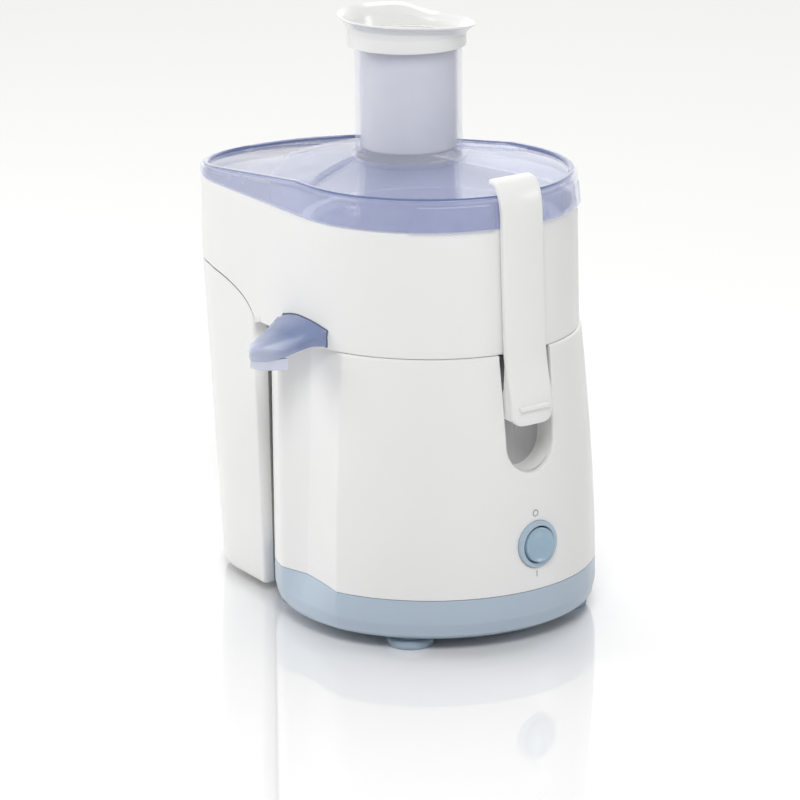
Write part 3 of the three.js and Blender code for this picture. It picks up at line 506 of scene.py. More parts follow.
def body_outline(z, inset=0.0, level=None):
    """Plan of the motor base: tapered nose, upright tail side, scoop for the glass."""
    height = z if level is None else level
    nose, tail = nose_radius(z) - inset, TAIL_RADIUS - inset
    soft_crease, soft_corner = 0.9, 3.2
    start = SCOOP_END + math.degrees(soft_crease / nose)
    stop = 360 + SCOOP_START - math.degrees(soft_corner / tail)
    steps = 200
    outline = []
    for i in range(steps + 1):
        angle = lerp(start, stop, i / steps)
        outline.append(polar(lerp(nose, tail, smoothstep(angle, 95, 122)), angle))
    corner = polar(tail, SCOOP_START)
    crease = polar(nose, SCOOP_END)
    share = min(max((height - 7) / (BASE_HIGH.z - 7), 0), 1)
    depth = lerp(*SCOOP_DEPTH, (z - BASE_HIGH.z) / (HOUSING_HIGH.z - BASE_HIGH.z)) - inset

    def scoop(x):
        end = corner if x < SCOOP_MIDDLE else crease
        out = abs((x - SCOOP_MIDDLE) / (end.x - SCOOP_MIDDLE)) ** 1.25
        across = (x - corner.x) / (crease.x - corner.x)
        full = -math.sqrt(lerp(tail, nose, across) ** 2 - x * x)
        return Vector((x, lerp(full, lerp(-depth, end.y, out), share)))

    first, last = corner.x + soft_corner, crease.x - soft_crease
    outline += soft_turn(outline[-1], corner, scoop(first), 8)
    scoop_steps = 48
    outline += [scoop(lerp(first, last, i / scoop_steps)) for i in range(1, scoop_steps)]
    outline += soft_turn(scoop(last), crease, outline[0], 4)[:-1]
    return [(p.x, p.y, height) for p in outline]


def soft_turn(start, corner, stop, steps):
    """Points that round a corner, without the first one."""
    return [start * (1 - t) ** 2 + corner * 2 * t * (1 - t) + stop * t * t
            for t in ((i + 1) / steps for i in range(steps))]


def teardrop(drum, tail, drum_steps=110, tail_steps=64, flank_steps=44):
    """Plan of collector and lid: two circles and their tangent flanks."""
    turn = 90 + math.degrees(math.asin((drum - tail) / TAIL_CENTRE))
    outline = [polar(drum, lerp(-turn, turn, i / drum_steps)) for i in range(drum_steps + 1)]
    end = [polar(tail, lerp(turn, 360 - turn, i / tail_steps)) - Vector((TAIL_CENTRE, 0))
           for i in range(tail_steps + 1)]
    outline += [outline[-1].lerp(end[0], i / flank_steps) for i in range(1, flank_steps)]
    outline += end
    outline += [end[-1].lerp(outline[0], i / flank_steps) for i in range(1, flank_steps)]
    return outline


EDGE_CORNERS = [Vector(p) for p in ((-60, BOWL_FOOT), (-66.5, 163.5), (-88, 167.5), (-111, BIN_TOP))]
EDGE_CURVE = [bezier(*EDGE_CORNERS, i / 60) for i in range(61)]


def edge_height(x):
    """Height of the collector's swept lower edge over the pulp container."""
    if x >= EDGE_CURVE[0].x:
        return EDGE_CURVE[0].y
    for a, b in zip(EDGE_CURVE, EDGE_CURVE[1:]):
        if b.x <= x:
            return lerp(a.y, b.y, (x - a.x) / (b.x - a.x))
    return EDGE_CURVE[-1].y


def container_outline(z, inset=0.0, end_inset=0.0, inner_inset=0.0):
    """Crescent plan of the pulp container."""
    t = min(max(z / BIN_TOP, 0), 1)
    tail = lerp(57, TAIL_END_RADIUS, t) - inset
    centre = lerp(90, TAIL_CENTRE, t)
    front = lerp(-66, -60.5, t) - end_inset
    inner = BIN_INNER_RADIUS + inner_inset
    turn = 90 + math.degrees(TAIL_LEAN)
    touch = polar(tail, turn) - Vector((centre, 0))
    front_y = touch.y + (front - touch.x) * math.tan(TAIL_LEAN)
    corner_out = Vector((front, front_y))
    reach = math.degrees(math.acos(front / inner))
    corner_in = polar(inner, reach)
    outline = soft_turn(corner_in.lerp(corner_out, 0.5), corner_out, corner_out.lerp(touch, 0.06), 5)
    outline += [outline[-1].lerp(touch, i / 16) for i in range(1, 16)]
    steps = 84
    outline += [polar(tail, lerp(turn, 360 - turn, i / steps)) - Vector((centre, 0))
                for i in range(steps + 1)]
    mirror = [Vector((p.x, -p.y)) for p in outline[: 5 + 15]]
    outline += mirror[::-1]
    inner_steps = 60
    outline += [polar(inner, lerp(360 - reach, reach, i / inner_steps)) for i in range(inner_steps + 1)]
    return outline


# ---- base and housing

def base_tray():
    """Blue tray with a rounded foot line, a recessed underside and its screw wells."""
    low, high = BASE_LOW.z, BASE_HIGH.z
    profile = rounded([(8.5, low, 0), (6.4, low, 1.5), (1.6, low + 2.4, 5), (0, low + 9, 6), (0, high, 0.25),
                       (2.8, high, 0.5), (2.8, low + 4, 1.0), (9, low + 3.2, 0)], 5, closed=False)
    rings = [body_outline(z, inset) for inset, z in profile]
    floor_low = [scaled(rings[0], share) for share in (0.9, 0.45, 0.02)]
    floor_high = [scaled(rings[-1], share) for share in (0.9, 0.45, 0.02)]
    return loft("base_tray", floor_low[::-1] + rings + floor_high, "cap")


def scaled(ring, share):
    return [(x * share, y * share, z) for x, y, z in ring]


def shell_housing():
    """Motor housing: tapered shell with a deck, open below."""
    low, high = BASE_HIGH.z + SEAM_GAP, HOUSING_HIGH.z
    wall, hole = 2.5, 12.3
    levels = [low + 6 + (high - low - 12) * i / 22 for i in range(23)]
    outer = [(0.9, low), (0.12, low), (0, low + 0.12), (0, low + 1.5)]
    outer += [(0, z) for z in levels]
    outer += [(0, high - 1.6), (0.06, high - 0.9), (0.35, high - 0.3), (0.9, high)]
    rings = [body_outline(z, inset) for inset, z in outer]
    rings += [towards_circle(rings[-1], share, hole, high) for share in (0.12, 0.5, 0.85, 1)]
    deck = high - 2.7
    inner_top = body_outline(deck, wall)
    rings += [towards_circle(inner_top, share, hole, deck) for share in (1, 0.5, 0)]
    rings += [body_outline(z, wall) for z in reversed(levels)]
    rings.append(body_outline(low, wall))
    return loft("housing_shell", rings, "join")


def towards_circle(ring, share, radius, z):
    """The ring drawn in towards a circle on the drum axis, at another height."""
    plan = [Vector(point[:2]) for point in ring]
    return [(*p.lerp(p.normalized() * radius, share), z) for p in plan]


RECESS_Y, RECESS_HALF, RECESS_TOP_HALF, RECESS_CENTRE, RECESS_FLOOR = 0.6, 15.0, 16.2, 104.5, 67.0


def slot_outline(grow, top, steps=28):
    """Points of the clamp's slot as (y, z): round bottom, sides that open a little upwards."""
    half, top_half = RECESS_HALF + grow, RECESS_TOP_HALF + grow
    arc = [(RECESS_Y + half * math.cos(math.pi * (1 + i / steps)),
            RECESS_CENTRE + half * math.sin(math.pi * (1 + i / steps))) for i in range(steps + 1)]
    rises = [i / 8 for i in range(1, 9)]
    left = [(RECESS_Y - lerp(half, top_half, t), lerp(RECESS_CENTRE, top, t)) for t in reversed(rises)]
    right = [(RECESS_Y + lerp(half, top_half, t), lerp(RECESS_CENTRE, top, t)) for t in rises]
    return [*left, *arc, *right]


def recess_cutter():
    """The clamp's recess: its lip follows the tapered wall and is rounded off."""
    top = HOUSING_HIGH.z + 4
    rings = []
    for grow, depth in [(-1.6, RECESS_FLOOR), (-0.3, RECESS_FLOOR + 0.5), (0, RECESS_FLOOR + 2)]:
        rings.append([(depth, y, z) for y, z in slot_outline(grow, top)])
    for grow, lift in [(0.0, -1.5), (0.12, -0.8), (0.45, -0.2), (0.9, 0.05), (1.5, 0.2), (4.0, 3.0)]:
        ring = []
        for y, z in slot_outline(grow, top):
            radius = nose_radius(min(z, HOUSING_HIGH.z)) + lift
            ring.append((math.sqrt(radius**2 - y**2), y, z))
        rings.append(ring)
    return loft("recess_cutter", rings, "cap")


SWITCH_ANGLE, SWITCH_Z, SWITCH_FACE, SWITCH_TILT = 1.2, 51.7, 85.4, 5.0


def at_switch(mesh, tilt=0.0):
    """Moves a body lathed about Z, with its face at z = 0, to the switch and aims it along the nose."""
    return moved(mesh, spin(SWITCH_ANGLE, "Z"), shift(SWITCH_FACE, 0, SWITCH_Z), spin(90 + tilt, "Y"))


def motor_base():
    tray = carve(base_tray(), *[screw_well(angle) for angle in (20, 150, 210, 340)])
    finish_mesh("base_tray", tray, "base", BLUE_GREY, replaces=["base_plate"])
    seat = at_switch(closed_lathe("switch_seat", [
        (0.01, -16, 0), (10.6, -16, 0), (10.6, -3.0, 0), (12.45, -3.0, 0), (12.45, -1.3, 0.2), (12.9, 3, 0),
        (0.01, 3, 0)]))
    shell = carve(shell_housing(), recess_cutter(), seat)
    finish_mesh("housing_shell", shell, "base", WHITE, replaces=["motor_housing"])
    pocket = finish_mesh("recess_pocket", recess_pocket(), "base", WHITE)
    # The recess floor faces get the grey: painted shade under the clamp's tab.
    pocket.data.materials.append(RECESS_PAINTED_SHADE)
    for face in pocket.data.polygons:
        middle = (face.center - DRUM) / MM
        if face.normal.x > 0.6 and middle.x < RECESS_FLOOR + 0.6:
            face.material_index = 1


def screw_well(angle):
    p = polar(74, angle)
    return closed_lathe("well", [(0.01, 0, 0), (4.1, 0, 0), (4.1, 7.8, 0.2), (0.01, 7.8, 0)], p.x, p.y, 32)


def recess_pocket():
    """Walls and floor of the clamp's recess, behind the lip."""
    floor, wall, shut = RECESS_FLOOR, 2.3, 0.01 - RECESS_HALF
    top = HOUSING_HIGH.z - 0.2
    levels = [(wall, 78.0), (wall, floor - 1.2), (wall - 1.2, floor - wall), (shut, floor - wall),
              (shut, floor), (-2.0, floor), (-0.6, floor + 0.4), (0.02, floor + 2.0), (0.02, 78.0)]
    rings = []
    for grow, x in levels:
        rings.append([(min(x, wall_x(y, z)), y, z) for y, z in slot_outline(grow, top)])
    return loft("recess_pocket", rings, "join")


def wall_x(y, z):
    return math.sqrt(nose_radius(min(z, HOUSING_HIGH.z)) ** 2 - y * y) - 1.2


def feet():
    for name in ("foot_nose_front", "foot_nose_back", "foot_tail_front", "foot_tail_back"):
        low, high = box_mm(name)
        x, y = (low.x + high.x) / 2, (low.y + high.y) / 2
        mesh = solid_lathe(name, [
            (0.01, 0, 0), (7.5, 0, 0.4), (8.0, 0.7, 0.3), (9.2, 0.7, 0.3), (9.7, 0, 0.4), (11.6, 0, 0.8),
            (12, 1.6, 1.2), (11.9, 3.4, 1.0), (10.8, 4.2, 0.8), (8.1, 4.4, 0.5), (7.9, 5.7, 0), (0.01, 5.7, 0)],
            x, y, 56)
        finish_mesh(name + "_pad", mesh, "base", FOOT_RUBBER, replaces=[name])


# ---- collector

def juice_collector():
    """White bowl: outer wall with the swept lower edge, thick lip and inner wall."""
    top = BOWL_HIGH.z
    profile = [(1.6, 0), (0.5, 0), (0.1, 0.006), (0, 0.02)]
    profile += [(0, 0.06 + 0.9 * i / 14) for i in range(15)]
    profile += [(0.05, 0.985), (0.3, 0.997), (0.8, 1), (2.2, 1), (2.7, 0.997), (2.9, 0.98)]
    profile += [(2.9, 0.9 - 0.84 * i / 10) for i in range(11)]
    profile += [(2.9, 0)]
    rings = []
    for inset, share in profile:
        radius = collector_radius(lerp(BOWL_FOOT, top, share)) - inset
        rings.append([(p.x, p.y, lerp(edge_height(p.x), top, share))
                      for p in teardrop(radius, TAIL_END_RADIUS - inset)])
    catch = rounded_block("catch_slot", (-29.6, -85, 160.0), (-26.9, -60, 162.2), 0.2, 2)
    return carve(loft("collector_wall", rings, "join"), spout_cutter(), catch)


def collector_radius(z):
    return lerp(DRUM_RADIUS, DRUM_TOP_RADIUS, (z - BOWL_FOOT) / (BOWL_HIGH.z - BOWL_FOOT))


def channel_shadow_strip():
    """Dark strip under the collector's swept edge: painted shade, seen as a dark line over the container."""
    rings = []
    for inset, lift in [(0.35, -0.62), (1.8, -0.62), (1.8, 0.3), (0.35, 0.3)]:
        plan = teardrop(collector_radius(BOWL_FOOT) - inset, TAIL_END_RADIUS - inset)
        rings.append([(p.x, p.y, edge_height(p.x) + lift) for p in plan if p.x < -58])
    return strip("channel_shadow_strip", rings)


def arch(left, right, low, spring, crown, steps=24):
    """Arched opening as (x, z) points, anticlockwise seen from the front."""
    points = [(left, low), (right, low)]
    middle, half = (left + right) / 2, (right - left) / 2
    for i in range(steps + 1):
        angle = math.pi * i / steps
        points.append((middle + half * math.cos(angle), spring + (crown - spring) * math.sin(angle)))
    return points


def spout_cutter():
    outline = arch(-25.5, 7.5, 155.2, 157.5, 162.4)
    return loft("spout_cutter", [[(x, y, z) for x, z in outline] for y in (-90, -60)], "cap")


def collector_inside():
    """Bowl wall, floor and hub collar that the sieve turns in, and the floor of the pulp channel."""
    bowl = closed_lathe("bowl", [(16, 151.8, 0), (75.2, 151.8, 0.5), (75.2, 196, 1.2), (72.6, 196, 1.2),
                                 (72.6, 155, 3), (19, 155, 1.5), (18.5, 164, 0.9), (16, 164, 0.9)], steps=4)
    rings = []
    for radius, lift in [(75.0, 2.4), (91.0, 2.4), (91.0, 0.1), (75.0, 0.1)]:
        arc = [polar(radius, lerp(128, 232, i / 60)) for i in range(61)]
        rings.append([(p.x, p.y, edge_height(min(p.x, -60.0)) + lift) for p in arc])
    floor = strip("channel_floor", rings)
    bowl = carve(bowl, spout_cutter())
    finish_mesh("collector_bowl", bowl, "base", WHITE)
    finish_mesh("collector_channel_floor", floor, "base", WHITE)
    # The dark strip is painted shade in the gap over the container.
    finish_mesh("channel_shadow_strip", channel_shadow_strip(), "base", CHANNEL_SHADE_GREY)


# ---- lid and feed tube

def rim_height(x):
    return LID_RIM - LID_SLOPE * max(LID_SLOPE_START - x, 0)


def lid_point(p, share, radius, lift):
    """A point of the lid's roof: share 0 is just inside the rim, 1 at the feed tube."""
    from_tube = Vector((p.x - TUBE_X, p.y))
    q = from_tube.lerp(from_tube.normalized() * radius, share)
    x, y = q.x + TUBE_X, q.y
    base = rim_height(x)
    rise = LID_CROWN - base
    height = base + rise * (0.16 * share + 0.84 * share**2.2)
    height += roof_step(x, y) * math.sin(math.pi * share) ** 0.35
    return (x, y, height + lift)


def roof_step(x, y):
    """Two folds of the roof: one across the tail, and the shoulder of the dish round the tube."""
    across = abs(y)
    tail_fold = -110 + 0.93 * max(across, 29)
    shoulder = -30 + 23 * (across / 70) ** 2.6
    return 2.5 * smoothstep(x - tail_fold, -1.8, 1.8) - 2.3 * smoothstep(x - shoulder, -1.3, 1.3)


def tab_rise(x, y, z):
    """The skirt stands proud either side of the clamp, behind a slanted edge."""
    angle = math.degrees(math.atan2(abs(y), x))
    edge = 46 - 3 * (z - LID_EDGE) / 12
    beside = smoothstep(abs(y + 2.5), 14.3, 15.0) * smoothstep(edge - angle, -0.35, 0.35)
    return 1.2 * beside * smoothstep(228.6 - z, -0.35, 0.35)


def lid_shell():
    """Tinted cover: skirt, rounded rim with a groove inside it, and a roof that climbs to the tube."""
    wall, roof_hole = 2.4, 27.2

    def skirt(inset, z):
        radius = DRUM_TOP_RADIUS + 0.8 - 0.9 * (z - LID_EDGE) / 15.5 - inset
        return teardrop(radius, TAIL_END_RADIUS + 0.3 - inset, drum_steps=330, tail_steps=80)

    def skirt_ring(inset, share, lift=0.0):
        level = lerp(LID_EDGE, LID_RIM, share)
        ring = []
        for p in skirt(inset, level):
            if p.x > 30:
                p = p * (1 + tab_rise(p.x, p.y, level) / p.length)
            ring.append((p.x, p.y, lerp(LID_EDGE, rim_height(p.x) + lift, share)))
        return ring

    rings = [skirt_ring(wall - 0.4, 0), skirt_ring(0.35, 0)]
    rings.append([(x, y, z + 0.35) for x, y, z in skirt_ring(0.0, 0)])
    rings += [skirt_ring(0, share) for share in (0.12, 0.35, 0.6, 0.785, 0.80, 0.82, 0.84, 0.9)]
    rings += [skirt_ring(*step) for step in (
        (0.15, 0.965), (0.55, 1.0), (1.1, 1.0, 0.3), (1.9, 1.0, 0.3), (2.5, 1.0, -0.1), (3.1, 1.0, -0.7))]
    inside_rim = skirt(3.9, LID_RIM)
    shares = [i / 44 for i in range(45)]
    for drop, way in ((0, shares), (wall, reversed(shares))):
        for share in way:
            lift = -drop - 0.9 * (1 - share) ** 2
            rings.append([lid_point(p, share, roof_hole, lift) for p in inside_rim])
    rings += [skirt_ring(*step) for step in ((3.3, 0.72), (wall + 0.1, 0.6), (wall, 0.3), (wall, 0.03))]
    return loft("lid_shell", rings, "join")


def rim_shade_line():
    """Dark bead inside the lid's rim: painted shade for the dark line along the rim's edge."""
    rings = []
    for inset, lift in [(1.7, -0.8), (1.7, 0.5), (2.1, 1.0), (3.6, 1.0), (4.4, 0.4), (4.4, -0.8)]:
        plan = teardrop(DRUM_TOP_RADIUS - 0.1 - inset, TAIL_END_RADIUS + 0.3 - inset, 160, 80)
        rings.append([(p.x, p.y, rim_height(p.x) + lift) for p in plan])
    return loft("lid_rim_shade_line", rings, "join")


def feed_tube():
    """Clear tube through the lid, with a beaded collar where it meets the roof."""
    low, high = LID_LOW.z, LID_HIGH.z
    corners = [(TUBE_RADIUS, low, 0.8), (TUBE_RADIUS, 232, 0), (TUBE_RADIUS, 234.6, 0.8), (29.9, 235.2, 0.9),
               (30.1, 237.2, 1.0), (28.4, 238.2, 0.9), (TUBE_RADIUS, 239.5, 1.2), (TUBE_RADIUS, high, 0.8),
               (TUBE_BORE, high, 0.8), (TUBE_BORE, low, 0.8)]
    return closed_lathe("feed_tube", corners, TUBE_X, 0, 128, 5)


def lid():
    finish_mesh("lid_cover", lid_shell(), "base", CLEAR, sharp=40, replaces=["lid"])
    finish_mesh("feed_tube", feed_tube(), "base", CLEAR_TUBE)
    finish_mesh("lid_rim_shade_line", rim_shade_line(), "base", CLEAR_RIM_SHADE)


# ---- pusher

def lip_height(x, y):
    """Height of the pusher's lip round the cup: high behind, lower at the right, a step between."""
    angle = math.degrees(math.atan2(y, x))
    if angle < -118:
        angle += 360
    return (308.9 + 0.8 * math.cos(math.radians(angle - 200))
            - 4.6 * (smoothstep(angle, -40, 80) - smoothstep(angle, 115, 152)))


def pusher():
    """Hollow pusher: stem, skirt over the tube's end, and a flared lip cut higher on one side."""
    seat, skirt_low, lip_top = LID_HIGH.z + SEAM_GAP, LID_HIGH.z - 4.2, 307.3
    corners = [
        (0.01, 240, 0), (23, 240, 0.2), (24.6, 241.6, 1.2), (24.6, seat, 0.3), (28.6, seat, 0.3),
        (28.6, skirt_low, 0.3), (30.65, skirt_low, 0.6), (30.65, 300.5, 1.5), (31.4, 303, 1.6),
        (33.4, 305.5, 1.6), (35.2, 306.5, 0.4), (35.2, lip_top, 0.4), (34.6, lip_top + 0.2, 0.5),
        (32.2, 305.9, 1.2), (29.8, 302.6, 1.6), (28.8, 299, 1.5), (27.4, 293.4, 2.0), (22.6, 292.6, 1.5),
        (22.6, 243.5, 2.5), (0.01, 242.5, 0)]
    mesh = solid_lathe("pusher_cup", corners, TUBE_X, 0, 180, 5)
    for vert in mesh.vertices:
        x, y = (vert.co.x - DRUM.x) / MM - TUBE_X, (vert.co.y - DRUM.y) / MM
        follow = smoothstep(vert.co.z / MM, 299.5, 305)
        aside = smoothstep(math.hypot(x, y), 24.6, 30.65)
        vert.co += Vector((-0.55 * aside, -0.71 * aside, (lip_height(x, y) - lip_top) * follow)) * MM
    finish_mesh("pusher_cup", mesh, "pusher", WHITE_GLOSS, replaces=["pusher"])


# ---- pulp container

def pulp_container():
    """Crescent bin that wraps the base, open at the top under the collector's edge."""
    bottom = BIN_LOW.z
    profile = [(3.0, 0, 4, 1.6), (1.2, 0, 1.6, 0.8), (0.5, 0.3, 0.7, 0.3), (0.1, 1.0, 0.2, 0.1), (0, 4, 0, 0)]
    rings = []
    for inset, lift, end, inner in profile:
        rings.append([(p.x, p.y, bottom + lift) for p in container_outline(bottom + lift, inset, end, inner)])
    heights = 22
    rings += [bin_ring(i / heights * 0.985, 0, 0, 0) for i in range(1, heights + 1)]
    rings += [bin_ring(*step) for step in (
        (0.997, 0.12, 0.1, 0.1), (1.0, 0.5, 0.5, 0.4), (1.0, 1.7, 8.2, 1.8), (0.997, 2.1, 8.8, 2.1))]
    rings += [bin_ring(lerp(0.98, 0.08, i / 7), 2.2, 9, 2.2) for i in range(8)]
    rings.append([(p.x, p.y, bottom + 2.4) for p in container_outline(20, 6.5, 14, 5)])
    mesh = loft("bin_shell", rings, "cap")
    finish_mesh("pulp_bin", mesh, "container", WHITE, replaces=["pulp_container"])


def bin_ring(share, inset, end, inner):
    """A ring of the bin between its foot and the swept top edge."""
    low = BIN_LOW.z + 4
    plan = container_outline(lerp(low, 168, share), inset, end, inner)
    return [(p.x, p.y, lerp(low, edge_height(p.x) - 0.8, share)) for p in plan]


# ---- clamp

CLAMP_Y, CLAMP_LEAN, CLAMP_HALF, CLAMP_THICK = -1.5, -1.2, 13.0, 3.1


def clamp_profile():
    """Outer face of the strap from the tab up to the hook, as (x, z)."""
    return smooth_line([Vector(p) for p in (
        (85, 115.6), (85.4, 119), (85.5, 125), (84.3, 132), (82.3, 141), (80.6, 152), (79.9, 170),
        (79.5, 185), (79.2, 215), (79.0, 224), (77.9, 231), (75.6, 236), (72, 239.3), (67.2, 240.2))])


def clamp():
    """Strap that hugs the drum, with rounded edges, side flanges, a tab and a finger rib."""
    line = clamp_profile()
    edge = 0.9
    section = rounded([
        (-CLAMP_HALF, -CLAMP_THICK, edge), (0, -CLAMP_THICK, 0), (CLAMP_HALF, -CLAMP_THICK, edge),
        (CLAMP_HALF, 0, edge + 0.5), (0, 0, 0), (-CLAMP_HALF, 0, edge + 0.5)], 5)
    bent = []
    for a, b in zip(section, section[1:] + section[:1]):
        bent += [a.lerp(b, k / 8) for k in range(8)] if (b - a).length > 6 else [a]
    rings = []
    for i, p in enumerate(line):
        along = (line[min(i + 1, len(line) - 1)] - line[max(i - 1, 0)]).normalized()
        out = Vector((along.y, -along.x))
        middle = CLAMP_Y + CLAMP_LEAN * smoothstep(p.y, 145, 245)
        narrow = 5.5 * (1 - math.sqrt(max(1 - (max(121.3 - p.y, 0) / 5.7) ** 2, 0)))
        hug = smoothstep(p.x, 71, 79)
        ring = []
        for s in bent:
            across = s.x * (1 - narrow / CLAMP_HALF)
            sag = (p.x - math.sqrt(p.x**2 - across**2)) * hug
            ring.append((p.x + out.x * s.y - sag, middle + across, p.y + out.y * s.y))
        rings.append(ring)
    strap = loft("clamp_strap", rings, "cap")
    rib = rounded_block("clamp_rib", (84.2, CLAMP_Y - 9.4, PIVOT.z - 1.1),
                        (86.8, CLAMP_Y + 9.4, PIVOT.z + 1.2), 0.55, 3)
    flanges = [flange(side) for side in (-1, 1)]
    finish_mesh("clamp_strap", joined("clamp_strap", strap, rib, *flanges), "clamp", WHITE,
                replaces=["clamp"])


def flange(side):
    """Side wall of the clamp, with the ear that turns on the pin."""
    ear = 5.2
    outline = [Vector(p) for p in ((82.4, 118.5), (83.6, 125), (82.2, 133), (80.2, 142), (79.0, 149),
                                   (77.4, 149), (77.2, 142), (76.6, 134))]
    outline += [Vector((PIVOT.x, PIVOT.z)) + polar(ear, lerp(80, 255, i / 14)) for i in range(15)]
    y0, y1 = CLAMP_Y + side * 10.4, CLAMP_Y + side * 12.8
    rings = [[(p.x, y, p.y) for p in outline] for y in (y0, y1)]
    plate = loft("flange", rings, "cap")
    bore = closed_lathe("bore", [(0.01, -20, 0), (1.95, -20, 0), (1.95, 20, 0), (0.01, 20, 0)], segments=32)
    return carve(plate, moved(bore, shift(PIVOT.x, 0, PIVOT.z), spin(90, "X")))


# ---- switch

def switch():
    """Round rocker switch: flat ring, dished cap, and the two marks over and under it."""
    bezel = closed_lathe("bezel", [
        (9.6, -2.7, 0), (12.25, -2.7, 0), (12.25, -0.5, 0.45), (11.8, 0, 0.3), (9.95, 0, 0.35),
        (9.6, -0.5, 0.2)], segments=72)
    finish_mesh("switch_ring", at_switch(bezel), "base", RING_BLUE,
                replaces=["switch_bezel"])
    cap = solid_lathe("rocker", [
        (0.01, -5.4, 0), (8.0, -5.4, 0.5), (8.95, -4.4, 0.4), (8.95, 1.0, 0.5), (8.4, 1.45, 0.4),
        (7.2, 1.0, 0.8), (4, 0.45, 1), (0.01, 0.3, 0)], segments=72)
    tilted = at_switch(cap, tilt=-SWITCH_TILT)
    finish_mesh("rocker_cap", tilted, "rocker", ROCKER_BLUE, replaces=["switch_rocker"])
    off_mark = closed_lathe("off_mark", [(1.3, -0.02, 0), (1.85, -0.02, 0), (1.85, 0.06, 0), (1.3, 0.06, 0)],
                            segments=40)
    place_mark(off_mark, "switch_mark_off", 68.1)
    on_mark = rounded_block("on_mark", (-1.6, -0.28, -0.02), (1.6, 0.28, 0.06), 0.02, 1)
    place_mark(on_mark, "switch_mark_on", 36.4)


def place_mark(mesh, name, z):
    """A printed mark on the tapered wall over or under the switch."""
    moved(mesh, spin(SWITCH_ANGLE / 2, "Z"), shift(nose_radius(z) + 0.03, 0, z), spin(90, "Y"))
    finish_mesh(name, mesh, "base", MARK_GREY)


# ---- spout

SPOUT_X = -9.0


def drum_front(x):
    """The bowl's outer wall on the spout side, as a distance from the drum axis's plane."""
    lean = TAIL_LEAN
    if x > -DRUM_RADIUS * math.sin(lean):
        return -math.sqrt(DRUM_RADIUS**2 - x * x)
    return -DRUM_RADIUS * math.cos(lean) - (x + DRUM_RADIUS * math.sin(lean)) * math.tan(lean)


def spout_ring(y, half, floor, edge, crown, inset=0.0, at_bowl=False, off=-SEAM_GAP):
    """One section of the spout: flat floor, upright sides with a bead under the edge, low arch."""
    wide, low = half - inset, floor + inset
    side = [(wide - 0.8, low), (wide - 0.35, low + 0.25), (wide - 0.3, lerp(low, edge, 0.45)),
            (wide - 0.55, lerp(low, edge, 0.62)), (wide - 0.1, lerp(low, edge, 0.9)), (wide, edge - inset)]
    steps = 28
    roof = []
    for i in range(1, steps):
        across = 1 - 2 * i / steps
        roof.append((wide * across, edge - inset + crown * (1 - abs(across) ** 2.2)))
    section = side + roof + [(-x, z) for x, z in reversed(side)]
    return [(SPOUT_X + x, drum_front(SPOUT_X + x) + off if at_bowl else y, z) for x, z in section]


def spout():
    """Hollow hood with a rounded nose, and a drip lip round its mouth."""
    stations = smooth_line([Vector(p) for p in (
        (-76.0, 20.4, 153.0), (-80, 18.8, 153.4), (-84, 17.5, 153.2), (-90, 15.5, 151.5), (-96, 12.8, 149.2),
        (-102, 8.9, 147.8), (-105.5, 5.2, 147.2), (-107.4, 2.4, 147.2), (-108, 0.9, 147.4))], 3)
    tops = smooth_line([Vector(p) for p in (
        (-76.0, 161.0, 3.4), (-80, 159.0, 3.6), (-84, 157.2, 3.8), (-90, 155.0, 3.6), (-96, 153.3, 3.2),
        (-102, 152.4, 2.4), (-105.5, 152.0, 1.5), (-107.4, 151.4, 0.9), (-108, 150.6, 0.5))], 3)
    sections = [(a.x, a.y, a.z, b.y, b.z) for a, b in zip(stations, tops)]
    outer = [spout_ring(*s, at_bowl=i == 0) for i, s in enumerate(sections)]
    inner = [spout_ring(*s, inset=1.5, at_bowl=i == 0) for i, s in enumerate(sections[:-8])]
    shell = loft("spout_shell", outer[::-1] + inner, "cap")
    mouth_plan = [(p.y, p.x) for p in stations if p.x < -92.4]

    def lip_ring(inset, z):
        right = [(SPOUT_X + max(half - inset, 0.2), y + (inset if i == len(mouth_plan) - 1 else 0))
                 for i, (half, y) in enumerate(mouth_plan)]
        right = [(x, max(y, right[-1][1])) for x, y in right]
        left = [(2 * SPOUT_X - x, y) for x, y in reversed(right)]
        return [(x, y, z) for x, y in right + left]

    lip = loft("spout_lip", [lip_ring(inset, z) for inset, z in (
        (1.3, 148.4), (1.3, 143.0), (1.5, 142.5), (2.2, 142.4), (2.6, 142.9), (2.6, 148.4))], "join")
    # A dark ring behind the spout's root and a dark block in the catch slot: painted shade for the gap's shadow
    # and the slot's dark inside.
    shade_ring = loft("spout_shade", [spout_ring(*sections[0], inset=inset, at_bowl=True, off=off) for inset, off in (
        (-0.5, 0.5), (-0.5, -0.22), (1.2, -0.22), (1.2, 0.5))], "join")
    finish_mesh("spout_shade", shade_ring, "base", SPOUT_SHADE_DARK)
    catch = rounded_block("catch_slot_shade", (-29.8, -71, 159.8), (-26.7, -69, 162.4), 0.2, 2)
    finish_mesh("catch_slot_shade", catch, "base", SPOUT_SHADE_DARK)
    finish_mesh("spout_shell", shell, "spout", CLEAR_SPOUT, replaces=["spout"], sharp=28)
    finish_mesh("spout_lip", lip, "spout", CLEAR_LIP)


# ---- working parts inside

def grater():
    """Grater disc: a plate with rows of small raised teeth that curve out from the centre."""
    plate = solid_lathe("grater_plate", [
        (0.01, 171.7, 0), (49.5, 171.7, 0.4), (51.3, 170.6, 0.5), (51.3, 169, 0.3), (13.4, 169, 0.3),
        (13.4, 156.7, 0.5), (9.5, 156.7, 0.5), (9.5, 168.4, 0.3), (0.01, 168.4, 0)])
    rows, per_row = 22, 12
    teeth = [tooth(11 + 3.05 * k, 360 * row / rows + 2.2 * k) for row in range(rows) for k in range(per_row)]
    disc = joined("grater_disc_toothed", plate, *teeth)
    finish_mesh("grater_disc_toothed", disc, "drive", GRATER_STEEL, replaces=["grater_disc"])


